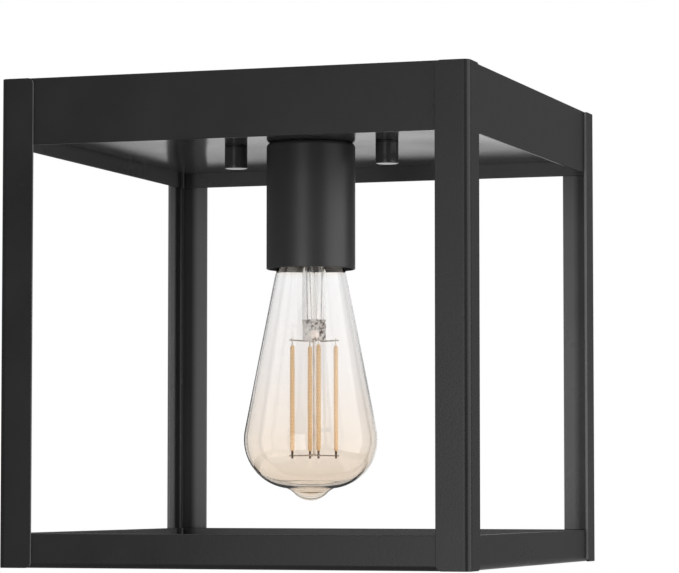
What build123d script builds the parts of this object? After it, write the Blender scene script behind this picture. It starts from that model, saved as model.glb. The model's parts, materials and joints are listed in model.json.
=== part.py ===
from build123d import *
import math
import os

# Square open-frame ceiling light with one screw-in filament bulb.
# Millimetres, +Z up. The origin is the middle of the ceiling plane, and the light hangs below it.

# Cage of bent sheet
SIDE = 204.0                    # overall width and depth
HEIGHT = 204.0                  # overall drop below the ceiling
SHEET = 1.2                     # thickness of the cage sheet
BEND_INSIDE = 1.6               # inside radius of a bend
POST_LEG = 14.5                 # width of each leg of a corner post
POST_END_ROUND = 2.5            # rounding of a leg's free corners
SKIRT_HEIGHT = 28.0             # top skirt
RAIL_HEIGHT = 14.3              # bottom rail, upright leg
RAIL_FLANGE = 12.0              # bottom rail, inward leg

# Canopy plate, a shallow pan inside the skirt
PLATE_DROP = 20.0               # ceiling to the plate's lower face
PLATE_SHEET = 1.2
PLATE_FLANGE = 11.0             # height of the upturned rim
PLATE_CORNER_INSIDE = 2.0

# Crossbar on the ceiling box, with the two studs that carry the light
CROSSBAR_LENGTH = 108.0
CROSSBAR_WIDTH = 22.0
CROSSBAR_SHEET = 1.6
CROSSBAR_EYE_D = 10.4           # wire hole in the middle
BOX_SPACING = 88.9              # slot centres for the ceiling box
BOX_SLOT_LENGTH = 10.0
BOX_SLOT_WIDTH = 4.8
STUD_SPACING = 70.0
STUD_D = 4.2
STUD_REACH = 6.5                # stud length below the plate
STUD_HOLE_PLAY = 0.5            # radial play of a stud in the plate
STUD_INSET = 0.2                # stud end below the crossbar's top
THREAD_PLAY = 0.05              # radial play of every plain thread
LOCK_NUT_FLATS = 8.0
LOCK_NUT_HEIGHT = 3.2
GROUND_SCREW_X = 20.0
GROUND_SCREW_D = 4.0
GROUND_HEAD_D = 8.0
GROUND_HEAD_HEIGHT = 2.6

# Cap nuts under the plate, each with a thin washer
CAP_NUT_D = 10.0
CAP_NUT_HEIGHT = 8.6
CAP_NUT_BORE_DEPTH = 6.7
CAP_NUT_EDGE = 0.5
NUT_WASHER_D = 9.2
NUT_WASHER_HEIGHT = 0.8
SEAT_GAP = 0.05                 # gap between faces that part when something turns

# Cup round the lampholder
CUP_D = 38.9
CUP_LENGTH = 55.5
CUP_WALL = 0.8
CUP_SHOULDER_INSIDE = 2.2       # inside radius of the cup's upper edge

# Hollow threaded nipple that clamps plate, cup and lampholder
NIPPLE_D = 10.0
NIPPLE_BORE = 7.0
NIPPLE_ABOVE = 7.0              # length above the plate
NIPPLE_NUT_FLATS = 15.0
NIPPLE_NUT_HEIGHT = 3.6
NIPPLE_WASHER_D = 18.0
NIPPLE_WASHER_HEIGHT = 1.0

# Lampholder: metal cap, moulded body, screw shell and sprung contact
HOLDER_D = 34.0
CAP_HEIGHT = 11.5
CAP_WALL = 1.2
CAP_EDGE_INSIDE = 1.0
CAP_COLLAR_D = 15.0
CAP_COLLAR_DEPTH = 3.0
PARTITION = 4.0
CHAMBER_D = 19.0
HOLDER_RIM_DROP = 25.7          # bulb seat to the body's open end
SHELL_TOP_DROP = 2.2            # bulb seat to the top of the screw shell
SHELL_WALL = 0.85
SHELL_FIT = 0.1                 # radial gap between shell and body
PLUNGER_HEAD_D = 9.0
PLUNGER_HEAD = 1.5
PLUNGER_PIN_D = 5.0
PLUNGER_STOP_D = 6.6
PLUNGER_STOP = 0.8
PLUNGER_PRESS = 1.0             # how far a seated bulb holds the plunger up
SPRING_LENGTH = 2.5
SPRING_WIRE = 0.8
SPRING_PLAY = 0.7               # radial gap between spring and pin

# Screw thread shared by the lampholder and the bulb
PITCH = 3.629
RIDGE_TURNS = 4
RIDGE_ROUND = 1.0               # radius of the rounded ridge
RIDGE_RISE = 0.8                # ridge above the base's wall
SHELL_RIDGE_ROUND = 0.65        # radius of the shell's inward ridge
SCREW_PLAY = 0.25

# Bulb
BULB_LENGTH = 136.0
BULB_D = 58.4
BELLY_RADIUS = 21.5
BELLY_ABOVE_TIP = 26.5          # widest place above the bulb's lower end
CONE_ANGLE = 11.0               # slope of the glass side, degrees
TIP_RADIUS = 7.0
TIP_BLEND = 3.0
GLASS = 0.9
NECK_D = 22.4
NECK_IN_BASE = 5.0
NECK_SHOULDER = 3.5             # from the base's rim to the start of the straight side
BASE_HEIGHT = 26.5
BASE_ROOT_D = 24.6
BASE_WALL = 0.8
BASE_COLLAR_D = 26.4
BASE_COLLAR = 2.5
RIDGE_MARGIN = 0.8              # between the collar and the ridge
CONTACT_D = 9.2
CONTACT = 1.5
CONTACT_EDGE = 0.4
INSULATOR = 3.0
INSULATOR_TOP_D = 11.0
GLUE_GAP = 0.1

# Driver board, stem and filaments inside the bulb
BOARD_WIDTH = 15.0
BOARD_LENGTH = 15.0
BOARD = 1.2
CAPACITOR_D = 5.0
CAPACITOR_LENGTH = 8.0
STEM_D = 10.4
STEM_WALL = 0.9
STEM_LENGTH = 29.5              # from the base's rim to the press
STEM_FLARE = 6.0
PRESS_WIDTH = 10.4
PRESS_DEPTH = 3.8
PRESS_HEIGHT = 10.2
WIRE_D = 0.7
LEAD_WIRE_SPACING = 4.0
CENTRE_POST_D = 1.1
KNOT_D = 2.4                    # knot where the radial wires meet
KNOT = 0.5
FILAMENT_COUNT = 4
FILAMENT_D = 2.0
FILAMENT_LENGTH = 46.0
FILAMENT_CIRCLE_D = 19.4
FILAMENT_TURN = 30.0            # degrees about the bulb's axis
FILAMENT_TAIL = 2.0             # bare wire at each end of a filament
TAIL_D = 0.5

# Terminal block on the plate, and the leads to it
BLOCK_WIDTH = 24.0
BLOCK_DEPTH = 14.0
BLOCK_HEIGHT = 11.0
BLOCK_EDGE = 0.8
BLOCK_FORWARD = 40.0            # lamp axis to the block's wire side
BLOCK_WAYS = 3
BLOCK_PITCH = 7.0
BLOCK_ENTRY_HEIGHT = 5.0        # wire entries above the plate
BLOCK_ENTRY_DEPTH = 6.0
BLOCK_WELL_D = 4.0
BLOCK_WELL_DEPTH = 3.0
LEAD_D = 2.4
LEAD_PLAY = 0.2                 # radial gap between a lead and its entry
LEAD_BEND = 3.2                 # radius of the lead's bends
LEAD_IN_NIPPLE = 1.7            # lead centre from the lamp axis inside the nipple
LEAD_AT_HOLDER = 6.8            # lead centre from the lamp axis at the lampholder
LEAD_IN_HOLDER = 2.5            # depth of the lead's end in the partition
LEAD_RISE = 4.5                 # lead above the nipple's end
EARTH_SCREW_OUT = 14.0          # block's end to the earth screw
EARTH_HEAD_D = 9.0
EARTH_HEAD_HEIGHT = 2.2
EARTH_SHANK_D = 3.5
EARTH_TAIL = 4.0                # lead past the earth screw

# Heights and radii that follow from the sizes above
half = SIDE / 2
wall_out = half - SHEET
wall_in = wall_out - SHEET
edge_break = SHEET / 3
plate_low = -PLATE_DROP
plate_top = plate_low + PLATE_SHEET
plate_half = wall_in
stud_r = STUD_D / 2
stud_x = STUD_SPACING / 2
stud_low = plate_low - STUD_REACH
washer_top = plate_low - SEAT_GAP
nut_top = washer_top - NUT_WASHER_HEIGHT - SEAT_GAP
cup_r = CUP_D / 2
cup_mouth = plate_low - CUP_LENGTH
cup_roof = plate_low - CUP_WALL
nipple_r = NIPPLE_D / 2
nipple_hole_r = nipple_r + THREAD_PLAY
nipple_top = plate_top + NIPPLE_ABOVE
nipple_low = cup_roof - CAP_WALL - CAP_COLLAR_DEPTH
holder_r = HOLDER_D / 2
holder_top = cup_roof - CAP_HEIGHT
chamber_top = holder_top - PARTITION
bulb_seat = chamber_top - SPRING_LENGTH - PLUNGER_HEAD
holder_rim = bulb_seat - HOLDER_RIM_DROP
base_root_r = BASE_ROOT_D / 2
base_rim = bulb_seat - BASE_HEIGHT
base_top = bulb_seat - CONTACT - INSULATOR
collar_top = base_rim + BASE_COLLAR
shell_bore_r = base_root_r + RIDGE_RISE + SCREW_PLAY
shell_out = shell_bore_r + SHELL_WALL
shell_top = bulb_seat - SHELL_TOP_DROP
shell_low = collar_top + RIDGE_MARGIN / 2
ridge_r = base_root_r + RIDGE_RISE - RIDGE_ROUND
shell_ridge_r = base_root_r + SCREW_PLAY + SHELL_RIDGE_ROUND
ridge_low = collar_top + RIDGE_MARGIN + RIDGE_ROUND
bulb_tip = bulb_seat - BULB_LENGTH
neck_r = NECK_D / 2
flare_r = neck_r - GLASS - GLUE_GAP
stem_r = STEM_D / 2
press_top = base_rim - STEM_LENGTH
press_low = press_top - PRESS_HEIGHT
board_low = base_top - BOARD_LENGTH
wire_r = WIRE_D / 2
filament_r = FILAMENT_CIRCLE_D / 2
top_wire_z = press_low - wire_r
filament_top = top_wire_z - FILAMENT_TAIL
filament_low = filament_top - FILAMENT_LENGTH
low_wire_z = filament_low - FILAMENT_TAIL
lead_r = LEAD_D / 2
entry_r = lead_r + LEAD_PLAY
entry_z = plate_top + BLOCK_ENTRY_HEIGHT
lead_top = nipple_top + LEAD_RISE
LOW = (Align.MIN, Align.MIN)

os.makedirs("parts", exist_ok=True)


# Four corner posts: full-height angles with rounded leg ends
POST_TURNS = {"front_left": 0, "front_right": 90, "rear_right": 180, "rear_left": 270}

for place, turn in POST_TURNS.items():
    along = (math.cos(math.radians(turn)), math.sin(math.radians(turn)), 0)
    with BuildPart() as post:
        with BuildSketch(Plane(origin=(0, 0, -HEIGHT), x_dir=along, z_dir=(0, 0, 1))) as angle:
            with Locations((-half, -half)):
                Rectangle(POST_LEG, SHEET, align=LOW)
                Rectangle(SHEET, POST_LEG, align=LOW)
            fillet(angle.vertices().sort_by_distance((-half, -half))[0], BEND_INSIDE + SHEET)
            fillet(angle.vertices().sort_by_distance((-wall_out, -wall_out))[0], BEND_INSIDE)
        extrude(amount=HEIGHT)
        leg_ends = post.edges().filter_by(lambda edge: abs(edge.length - SHEET) < THREAD_PLAY)
        fillet(leg_ends, POST_END_ROUND)
    post.part.label = f"post_{place}"
    export_step(post.part, f"parts/post_{place}.step")


# Skirts and bottom rails: one of each on every side, mitred just short of the posts' inner bends
SIDE_TURNS = {"front": 0, "right": 90, "rear": 180, "left": 270}


def side_directions(turn):
    """Outward and lengthwise directions of the cage side at this turn about the lamp axis."""
    angle = math.radians(turn)
    outward = Vector(math.sin(angle), -math.cos(angle), 0)
    run = Vector(math.cos(angle), math.sin(angle), 0)
    return outward, run


def trim_mitres(outward, run):
    """Cut both ends of the piece being built at 45 degrees."""
    for end in (run, run * -1):
        split(bisect_by=Plane(origin=outward * BEND_INSIDE, z_dir=end - outward), keep=Keep.BOTTOM)


for place, turn in SIDE_TURNS.items():
    outward, run = side_directions(turn)
    profile = Plane(origin=(0, 0, 0), x_dir=outward, z_dir=run)

    with BuildPart() as skirt:
        with BuildSketch(profile) as strip:
            with Locations((wall_in, 0)):
                Rectangle(SHEET, SKIRT_HEIGHT, align=LOW)
            fillet(strip.vertices().group_by(Axis.Y)[-1], edge_break)
        extrude(amount=wall_out, both=True)
        trim_mitres(outward, run)
    skirt.part.label = f"skirt_{place}"
    export_step(skirt.part, f"parts/skirt_{place}.step")

    with BuildPart() as rail:
        with BuildSketch(profile) as angle:
            with Locations((wall_in, HEIGHT - RAIL_HEIGHT)):
                Rectangle(SHEET, RAIL_HEIGHT, align=LOW)
            with Locations((wall_out - RAIL_FLANGE, HEIGHT - SHEET)):
                Rectangle(RAIL_FLANGE, SHEET, align=LOW)
            fillet(angle.vertices().sort_by_distance((wall_out, HEIGHT))[0], BEND_INSIDE + SHEET)
            fillet(angle.vertices().sort_by_distance((wall_in, HEIGHT - SHEET))[0], BEND_INSIDE)
            fillet(angle.vertices().group_by(Axis.Y)[0], edge_break)
        extrude(amount=wall_out, both=True)
        trim_mitres(outward, run)
    rail.part.label = f"rail_{place}"
    export_step(rail.part, f"parts/rail_{place}.step")


# Canopy plate: a pan with an upturned rim, pierced for the nipple, the studs and the earth screw
earth_screw_x = BLOCK_WIDTH / 2 + EARTH_SCREW_OUT
earth_screw_y = BLOCK_FORWARD + BLOCK_DEPTH / 2

with BuildPart() as canopy_plate:
    with BuildSketch(Plane.XY.offset(plate_low)):
        RectangleRounded(2 * plate_half, 2 * plate_half, PLATE_CORNER_INSIDE + PLATE_SHEET)
    extrude(amount=PLATE_FLANGE)
    fillet(canopy_plate.faces().sort_by(Axis.Z)[0].edges(), BEND_INSIDE + PLATE_SHEET)
    offset(amount=-PLATE_SHEET, openings=canopy_plate.faces().sort_by(Axis.Z)[-1])
    with BuildSketch(Plane.XY.offset(plate_low)):
        Circle(nipple_hole_r)
        with Locations((-stud_x, 0), (stud_x, 0)):
            Circle(stud_r + STUD_HOLE_PLAY)
        with Locations((earth_screw_x, earth_screw_y)):
            Circle(EARTH_SHANK_D / 2 + THREAD_PLAY)
    extrude(amount=PLATE_SHEET, mode=Mode.SUBTRACT)
canopy_plate.part.label = "canopy_plate"
export_step(canopy_plate.part, "parts/canopy_plate.step")


# Crossbar: flat bar with rounded ends, slots for the box and holes for the studs
with BuildPart() as crossbar:
    with BuildSketch(Plane.XY.offset(-CROSSBAR_SHEET)):
        SlotOverall(CROSSBAR_LENGTH, CROSSBAR_WIDTH)
        Circle(CROSSBAR_EYE_D / 2, mode=Mode.SUBTRACT)
        with Locations((-BOX_SPACING / 2, 0), (BOX_SPACING / 2, 0)):
            SlotOverall(BOX_SLOT_LENGTH, BOX_SLOT_WIDTH, mode=Mode.SUBTRACT)
        with Locations((-stud_x, 0), (stud_x, 0)):
            Circle(stud_r + THREAD_PLAY, mode=Mode.SUBTRACT)
        with Locations((GROUND_SCREW_X, 0)):
            Circle(GROUND_SCREW_D / 2 + THREAD_PLAY, mode=Mode.SUBTRACT)
    extrude(amount=CROSSBAR_SHEET)
crossbar.part.label = "crossbar"
export_step(crossbar.part, "parts/crossbar.step")


# Two studs from the crossbar down through the plate
with BuildPart() as mounting_studs:
    with BuildSketch(Plane.XY.offset(stud_low)):
        with Locations((-stud_x, 0), (stud_x, 0)):
            Circle(stud_r)
    extrude(amount=-STUD_INSET - stud_low)
    chamfer(mounting_studs.edges().filter_by(GeomType.CIRCLE).group_by(Axis.Z)[0], STUD_D / 8)
mounting_studs.part.label = "mounting_studs"
export_step(mounting_studs.part, "parts/mounting_studs.step")


# Hex nuts that lock the studs under the crossbar
with BuildPart() as stud_lock_nuts:
    with BuildSketch(Plane.XY.offset(-CROSSBAR_SHEET - LOCK_NUT_HEIGHT)):
        with Locations((-stud_x, 0), (stud_x, 0)):
            RegularPolygon(LOCK_NUT_FLATS / 2, 6, major_radius=False)
            Circle(stud_r + THREAD_PLAY, mode=Mode.SUBTRACT)
    extrude(amount=LOCK_NUT_HEIGHT)
stud_lock_nuts.part.label = "stud_lock_nuts"
export_step(stud_lock_nuts.part, "parts/stud_lock_nuts.step")


# Ground screw under the crossbar
with BuildPart() as ground_screw:
    with BuildSketch(Plane.XY.offset(-CROSSBAR_SHEET - GROUND_HEAD_HEIGHT)):
        with Locations((GROUND_SCREW_X, 0)):
            RegularPolygon(GROUND_HEAD_D / 2, 6, major_radius=False)
    extrude(amount=GROUND_HEAD_HEIGHT)
    with BuildSketch(Plane.XY.offset(-CROSSBAR_SHEET)):
        with Locations((GROUND_SCREW_X, 0)):
            Circle(GROUND_SCREW_D / 2)
    extrude(amount=CROSSBAR_SHEET - STUD_INSET)
ground_screw.part.label = "ground_screw"
export_step(ground_screw.part, "parts/ground_screw.step")


# Cap nuts with blind bores, and their washers
for place, x in {"left": -stud_x, "right": stud_x}.items():
    with BuildPart() as nut_washer:
        with BuildSketch(Plane.XY.offset(washer_top - NUT_WASHER_HEIGHT)):
            with Locations((x, 0)):
                Circle(NUT_WASHER_D / 2)
                Circle(stud_r + THREAD_PLAY, mode=Mode.SUBTRACT)
        extrude(amount=NUT_WASHER_HEIGHT)
    nut_washer.part.label = f"nut_washer_{place}"
    export_step(nut_washer.part, f"parts/nut_washer_{place}.step")

    with BuildPart() as cap_nut:
        with BuildSketch(Plane.XY.offset(nut_top)):
            with Locations((x, 0)):
                Circle(CAP_NUT_D / 2)
        extrude(amount=-CAP_NUT_HEIGHT)
        fillet(cap_nut.edges().sort_by(Axis.Z)[0], CAP_NUT_EDGE)
        with BuildSketch(Plane.XY.offset(nut_top)):
            with Locations((x, 0)):
                Circle(stud_r + THREAD_PLAY)
        extrude(amount=-CAP_NUT_BORE_DEPTH, mode=Mode.SUBTRACT)
    cap_nut.part.label = f"cap_nut_{place}"
    export_step(cap_nut.part, f"parts/cap_nut_{place}.step")


# Cup round the lampholder, open below
with BuildPart() as socket_cup:
    with BuildSketch(Plane.XY.offset(cup_mouth)):
        Circle(cup_r)
    extrude(amount=CUP_LENGTH)
    fillet(socket_cup.edges().sort_by(Axis.Z)[-1], CUP_SHOULDER_INSIDE + CUP_WALL)
    offset(amount=-CUP_WALL, openings=socket_cup.faces().sort_by(Axis.Z)[0])
    with BuildSketch(Plane.XY.offset(plate_low)):
        Circle(nipple_hole_r)
    extrude(amount=-CUP_WALL, mode=Mode.SUBTRACT)
    fillet(socket_cup.edges().filter_by(GeomType.CIRCLE).group_by(Axis.Z)[0], CUP_WALL / 3)
socket_cup.part.label = "socket_cup"
export_step(socket_cup.part, "parts/socket_cup.step")


# Nipple, with its washer and hex nut on top of the plate
with BuildPart() as nipple:
    with BuildSketch(Plane.XY.offset(nipple_low)):
        Circle(nipple_r)
        Circle(NIPPLE_BORE / 2, mode=Mode.SUBTRACT)
    extrude(amount=nipple_top - nipple_low)
    chamfer(nipple.edges().group_by(Axis.Z)[-1], (NIPPLE_D - NIPPLE_BORE) / 10)
nipple.part.label = "nipple"
export_step(nipple.part, "parts/nipple.step")

with BuildPart() as nipple_washer:
    with BuildSketch(Plane.XY.offset(plate_top)):
        Circle(NIPPLE_WASHER_D / 2)
        Circle(nipple_hole_r, mode=Mode.SUBTRACT)
    extrude(amount=NIPPLE_WASHER_HEIGHT)
nipple_washer.part.label = "nipple_washer"
export_step(nipple_washer.part, "parts/nipple_washer.step")

with BuildPart() as nipple_nut:
    with BuildSketch(Plane.XY.offset(plate_top + NIPPLE_WASHER_HEIGHT)):
        RegularPolygon(NIPPLE_NUT_FLATS / 2, 6, major_radius=False)
        Circle(nipple_hole_r, mode=Mode.SUBTRACT)
    extrude(amount=NIPPLE_NUT_HEIGHT)
nipple_nut.part.label = "nipple_nut"
export_step(nipple_nut.part, "parts/nipple_nut.step")


# Lampholder cap: drawn metal, with a collar that takes the nipple
with BuildPart() as holder_cap:
    with BuildSketch(Plane.XY.offset(holder_top)):
        Circle(holder_r)
    extrude(amount=CAP_HEIGHT)
    fillet(holder_cap.edges().sort_by(Axis.Z)[-1], CAP_EDGE_INSIDE + CAP_WALL)
    offset(amount=-CAP_WALL, openings=holder_cap.faces().sort_by(Axis.Z)[0])
    with BuildSketch(Plane.XY.offset(nipple_low)):
        Circle(CAP_COLLAR_D / 2)
    extrude(amount=CAP_COLLAR_DEPTH)
    with BuildSketch(Plane.XY.offset(nipple_low)):
        Circle(nipple_hole_r)
    extrude(amount=CAP_COLLAR_DEPTH + CAP_WALL, mode=Mode.SUBTRACT)
holder_cap.part.label = "holder_cap"
export_step(holder_cap.part, "parts/holder_cap.step")


# Lampholder body: partition on top, spring chamber, and the bore for the screw shell
with BuildPart() as holder_body:
    with BuildSketch(Plane.XY.offset(holder_rim)):
        Circle(holder_r)
    extrude(amount=holder_top - holder_rim)
    with BuildSketch(Plane.XY.offset(holder_rim)):
        Circle(shell_out + SHELL_FIT)
    extrude(amount=shell_top - holder_rim, mode=Mode.SUBTRACT)
    with BuildSketch(Plane.XY.offset(shell_top)):
        Circle(CHAMBER_D / 2)
    extrude(amount=chamber_top - shell_top, mode=Mode.SUBTRACT)
    with BuildSketch(Plane.XY.offset(chamber_top)):
        Circle(PLUNGER_PIN_D / 2 + THREAD_PLAY)
    extrude(amount=PARTITION, mode=Mode.SUBTRACT)
    with BuildSketch(Plane.XY.offset(holder_top)):
        with Locations((-LEAD_AT_HOLDER, 0), (LEAD_AT_HOLDER, 0)):
            Circle(entry_r)
    extrude(amount=-LEAD_IN_HOLDER, mode=Mode.SUBTRACT)
    fillet(holder_body.faces().sort_by(Axis.Z)[0].edges(), CAP_WALL / 2)
holder_body.part.label = "holder_body"
export_step(holder_body.part, "parts/holder_body.step")


def screw_ridge(radius, section_radius, low):
    """Rounded right-hand thread ridge whose section is centred on this radius."""
    line = Helix(pitch=PITCH, height=PITCH * RIDGE_TURNS, radius=radius, center=(0, 0, low))
    with BuildPart() as ridge:
        with BuildLine():
            add(line)
        with BuildSketch(Plane(origin=line @ 0, z_dir=line % 0)):
            Circle(section_radius)
        sweep(is_frenet=True)
    return ridge.part


# Screw shell inside the lampholder: its inward ridge runs half a pitch away from the bulb's ridge
with BuildPart() as screw_shell:
    with BuildSketch(Plane.XY.offset(shell_low)):
        Circle(shell_out)
        Circle(shell_bore_r, mode=Mode.SUBTRACT)
    extrude(amount=shell_top - shell_low)
    add(screw_ridge(shell_ridge_r, SHELL_RIDGE_ROUND, ridge_low + PITCH / 2))
screw_shell.part.label = "screw_shell"
export_step(screw_shell.part, "parts/screw_shell.step")


# Sprung centre contact: head below the partition, pin through it, stop above it
plunger_low = bulb_seat + SEAT_GAP
spring_low = bulb_seat + PLUNGER_HEAD
stop_low = holder_top + PLUNGER_PRESS

with BuildPart() as contact_plunger:
    with BuildSketch(Plane.XY.offset(plunger_low)):
        Circle(PLUNGER_HEAD_D / 2)
    extrude(amount=spring_low - plunger_low)
    with BuildSketch(Plane.XY.offset(spring_low)):
        Circle(PLUNGER_PIN_D / 2)
    extrude(amount=stop_low - spring_low)
    with BuildSketch(Plane.XY.offset(stop_low)):
        Circle(PLUNGER_STOP_D / 2)
    extrude(amount=PLUNGER_STOP)
contact_plunger.part.label = "contact_plunger"
export_step(contact_plunger.part, "parts/contact_plunger.step")

spring_in = PLUNGER_PIN_D / 2 + SPRING_PLAY

with BuildPart() as contact_spring:
    with BuildSketch(Plane.XY.offset(spring_low)):
        Circle(spring_in + SPRING_WIRE)
        Circle(spring_in, mode=Mode.SUBTRACT)
    extrude(amount=SPRING_LENGTH)
contact_spring.part.label = "contact_spring"
export_step(contact_spring.part, "parts/contact_spring.step")


# Terminal block on the plate, with wire entries facing the nipple and one on its end
with BuildPart() as terminal_block:
    with BuildSketch(Plane.XY.offset(plate_top)):
        with Locations((0, BLOCK_FORWARD)):
            Rectangle(BLOCK_WIDTH, BLOCK_DEPTH, align=(Align.CENTER, Align.MIN))
    extrude(amount=BLOCK_HEIGHT)
    chamfer(terminal_block.faces().sort_by(Axis.Z)[-1].edges(), BLOCK_EDGE)
    with BuildSketch(Plane.XY.offset(plate_top + BLOCK_HEIGHT)):
        with Locations((0, earth_screw_y)):
            with GridLocations(BLOCK_PITCH, BLOCK_PITCH, BLOCK_WAYS, 1):
                Circle(BLOCK_WELL_D / 2)
    extrude(amount=-BLOCK_WELL_DEPTH, mode=Mode.SUBTRACT)
    with BuildSketch(Plane(origin=(0, BLOCK_FORWARD, entry_z), x_dir=(1, 0, 0), z_dir=(0, 1, 0))):
        with GridLocations(BLOCK_PITCH, BLOCK_PITCH, BLOCK_WAYS, 1):
            Circle(entry_r)
    extrude(amount=BLOCK_ENTRY_DEPTH, mode=Mode.SUBTRACT)
    with BuildSketch(Plane(origin=(BLOCK_WIDTH / 2, earth_screw_y, entry_z), z_dir=(-1, 0, 0))):
        Circle(entry_r)
    extrude(amount=BLOCK_ENTRY_DEPTH / 2, mode=Mode.SUBTRACT)
terminal_block.part.label = "terminal_block"
export_step(terminal_block.part, "parts/terminal_block.step")


# Earth screw on the plate, its head clear of the plate by the lead's thickness
earth_gap = LEAD_D + LEAD_PLAY

with BuildPart() as earth_screw:
    with BuildSketch(Plane.XY.offset(plate_low)):
        with Locations((earth_screw_x, earth_screw_y)):
            Circle(EARTH_SHANK_D / 2)
    extrude(amount=PLATE_SHEET + earth_gap)
    with BuildSketch(Plane.XY.offset(plate_top + earth_gap)):
        with Locations((earth_screw_x, earth_screw_y)):
            Circle(EARTH_HEAD_D / 2)
    extrude(amount=EARTH_HEAD_HEIGHT)
    fillet(earth_screw.edges().sort_by(Axis.Z)[-1], EARTH_HEAD_HEIGHT / 3)
earth_screw.part.label = "earth_screw"
export_step(earth_screw.part, "parts/earth_screw.step")


def lead_tube(points):
    """Insulated lead along straight runs joined by bends."""
    with BuildPart() as lead:
        with BuildLine() as route:
            FilletPolyline(*points, radius=LEAD_BEND)
        with BuildSketch(Plane(origin=route.line @ 0, z_dir=route.line % 0)):
            Circle(lead_r)
        sweep()
    return lead.part


# Leads from the lampholder up through the nipple to the terminal block
lead_bottom = holder_top - LEAD_IN_HOLDER
lead_end_y = BLOCK_FORWARD + BLOCK_ENTRY_DEPTH - LEAD_PLAY
lead_spread_z = (holder_top + nipple_low) / 2

for name, side in {"lead_live": -1, "lead_neutral": 1}.items():
    holder_x = side * LEAD_AT_HOLDER
    nipple_x = side * LEAD_IN_NIPPLE
    block_x = side * BLOCK_PITCH
    lead = lead_tube([
        (holder_x, 0, lead_bottom),
        (holder_x, 0, lead_spread_z - LEAD_IN_HOLDER),
        (nipple_x, 0, nipple_low),
        (nipple_x, 0, lead_top),
        (block_x, BLOCK_FORWARD / 2, lead_top),
        (block_x, BLOCK_FORWARD - 3 * LEAD_D, entry_z),
        (block_x, lead_end_y, entry_z),
    ])
    lead.label = name
    export_step(lead, f"parts/{name}.step")


# Earth lead from the block's end, down under the earth screw's head
earth_y = earth_screw_y - EARTH_SHANK_D / 2 - lead_r - LEAD_PLAY
earth_z = plate_top + lead_r
block_end = BLOCK_WIDTH / 2

lead_earth = lead_tube([
    (block_end - BLOCK_ENTRY_DEPTH / 2 + LEAD_PLAY, earth_screw_y, entry_z),
    (block_end + LEAD_D, earth_screw_y, entry_z),
    (earth_screw_x - EARTH_HEAD_D / 2, earth_y, earth_z),
    (earth_screw_x + EARTH_TAIL, earth_y, earth_z),
])
lead_earth.label = "lead_earth"
export_step(lead_earth, "parts/lead_earth.step")


# Bulb glass: neck, straight flared side, round belly and a small drawn tip
belly_x = BULB_D / 2 - BELLY_RADIUS
belly_z = bulb_tip + BELLY_ABOVE_TIP
tip_z = bulb_tip + TIP_RADIUS
shoulder_z = base_rim - NECK_SHOULDER
slope = math.radians(CONE_ANGLE)

# The blend circle touches the belly and the tip from outside
reach_belly = BELLY_RADIUS + TIP_BLEND
reach_tip = TIP_RADIUS + TIP_BLEND
centre_gap = math.hypot(belly_x, belly_z - tip_z)
foot = (reach_belly**2 - reach_tip**2 + centre_gap**2) / (2 * centre_gap)
rise = math.sqrt(reach_belly**2 - foot**2)
toward_tip = Vector(-belly_x, tip_z - belly_z) / centre_gap
blend = Vector(belly_x, belly_z) + toward_tip * foot + Vector(-toward_tip.Y, toward_tip.X) * rise
belly_end = math.atan2(blend.Y - belly_z, blend.X - belly_x)
tip_start = math.atan2(blend.Y - tip_z, blend.X)


def arc_between(centre, radius, start, end):
    """Arc about a centre from one angle to another, in radians."""
    middle = (start + end) / 2
    places = [(centre[0] + radius * math.cos(a), centre[1] + radius * math.sin(a))
              for a in (start, middle, end)]
    return ThreePointArc(*places)


def glass_side(inset):
    """Draw the half outline of the glass, set in from its outer face, from neck to tip."""
    neck = neck_r - inset
    belly = BELLY_RADIUS - inset
    side_foot = Vector(belly_x + belly * math.cos(slope), belly_z + belly * math.sin(slope))
    shoulder = (side_foot.X - (shoulder_z - side_foot.Y) * math.tan(slope), shoulder_z)
    mouth = (neck, base_rim + NECK_IN_BASE)
    collar = (neck, base_rim - GLUE_GAP - inset)
    Polyline(mouth, collar, shoulder, side_foot)
    arc_between((belly_x, belly_z), belly, slope, belly_end)
    arc_between((blend.X, blend.Y), TIP_BLEND + inset, belly_end + math.pi, tip_start + math.pi)
    arc_between((0, tip_z), TIP_RADIUS - inset, tip_start, -math.pi / 2)
    return mouth


with BuildPart() as bulb_glass:
    with BuildSketch(Plane.XZ):
        with BuildLine():
            outer_mouth = glass_side(0)
            inner_mouth = glass_side(GLASS)
            Line(outer_mouth, inner_mouth)
            Line((0, bulb_tip), (0, bulb_tip + GLASS))
        make_face()
    revolve(axis=Axis.Z)
bulb_glass.part.label = "bulb_glass"
export_step(bulb_glass.part, "parts/bulb_glass.step")


# Screw base of the bulb: thin shell with a rounded ridge and a collar at its rim
with BuildPart() as bulb_base:
    with BuildSketch(Plane.XY.offset(base_rim)):
        Circle(base_root_r)
    extrude(amount=base_top - base_rim)
    with BuildSketch(Plane.XY.offset(base_rim)):
        Circle(BASE_COLLAR_D / 2)
    extrude(amount=BASE_COLLAR)
    add(screw_ridge(ridge_r, RIDGE_ROUND, ridge_low))
    with BuildSketch(Plane.XY.offset(base_rim)):
        Circle(base_root_r - BASE_WALL)
    extrude(amount=base_top - base_rim, mode=Mode.SUBTRACT)
bulb_base.part.label = "bulb_base"
export_step(bulb_base.part, "parts/bulb_base.step")


# Insulator and contact button on the end of the base
with BuildPart() as bulb_insulator:
    with BuildSketch(Plane.XY.offset(base_top)):
        Circle(base_root_r - BASE_WALL / 2)
    with BuildSketch(Plane.XY.offset(base_top + INSULATOR)):
        Circle(INSULATOR_TOP_D / 2)
    loft()
bulb_insulator.part.label = "bulb_insulator"
export_step(bulb_insulator.part, "parts/bulb_insulator.step")

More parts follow.
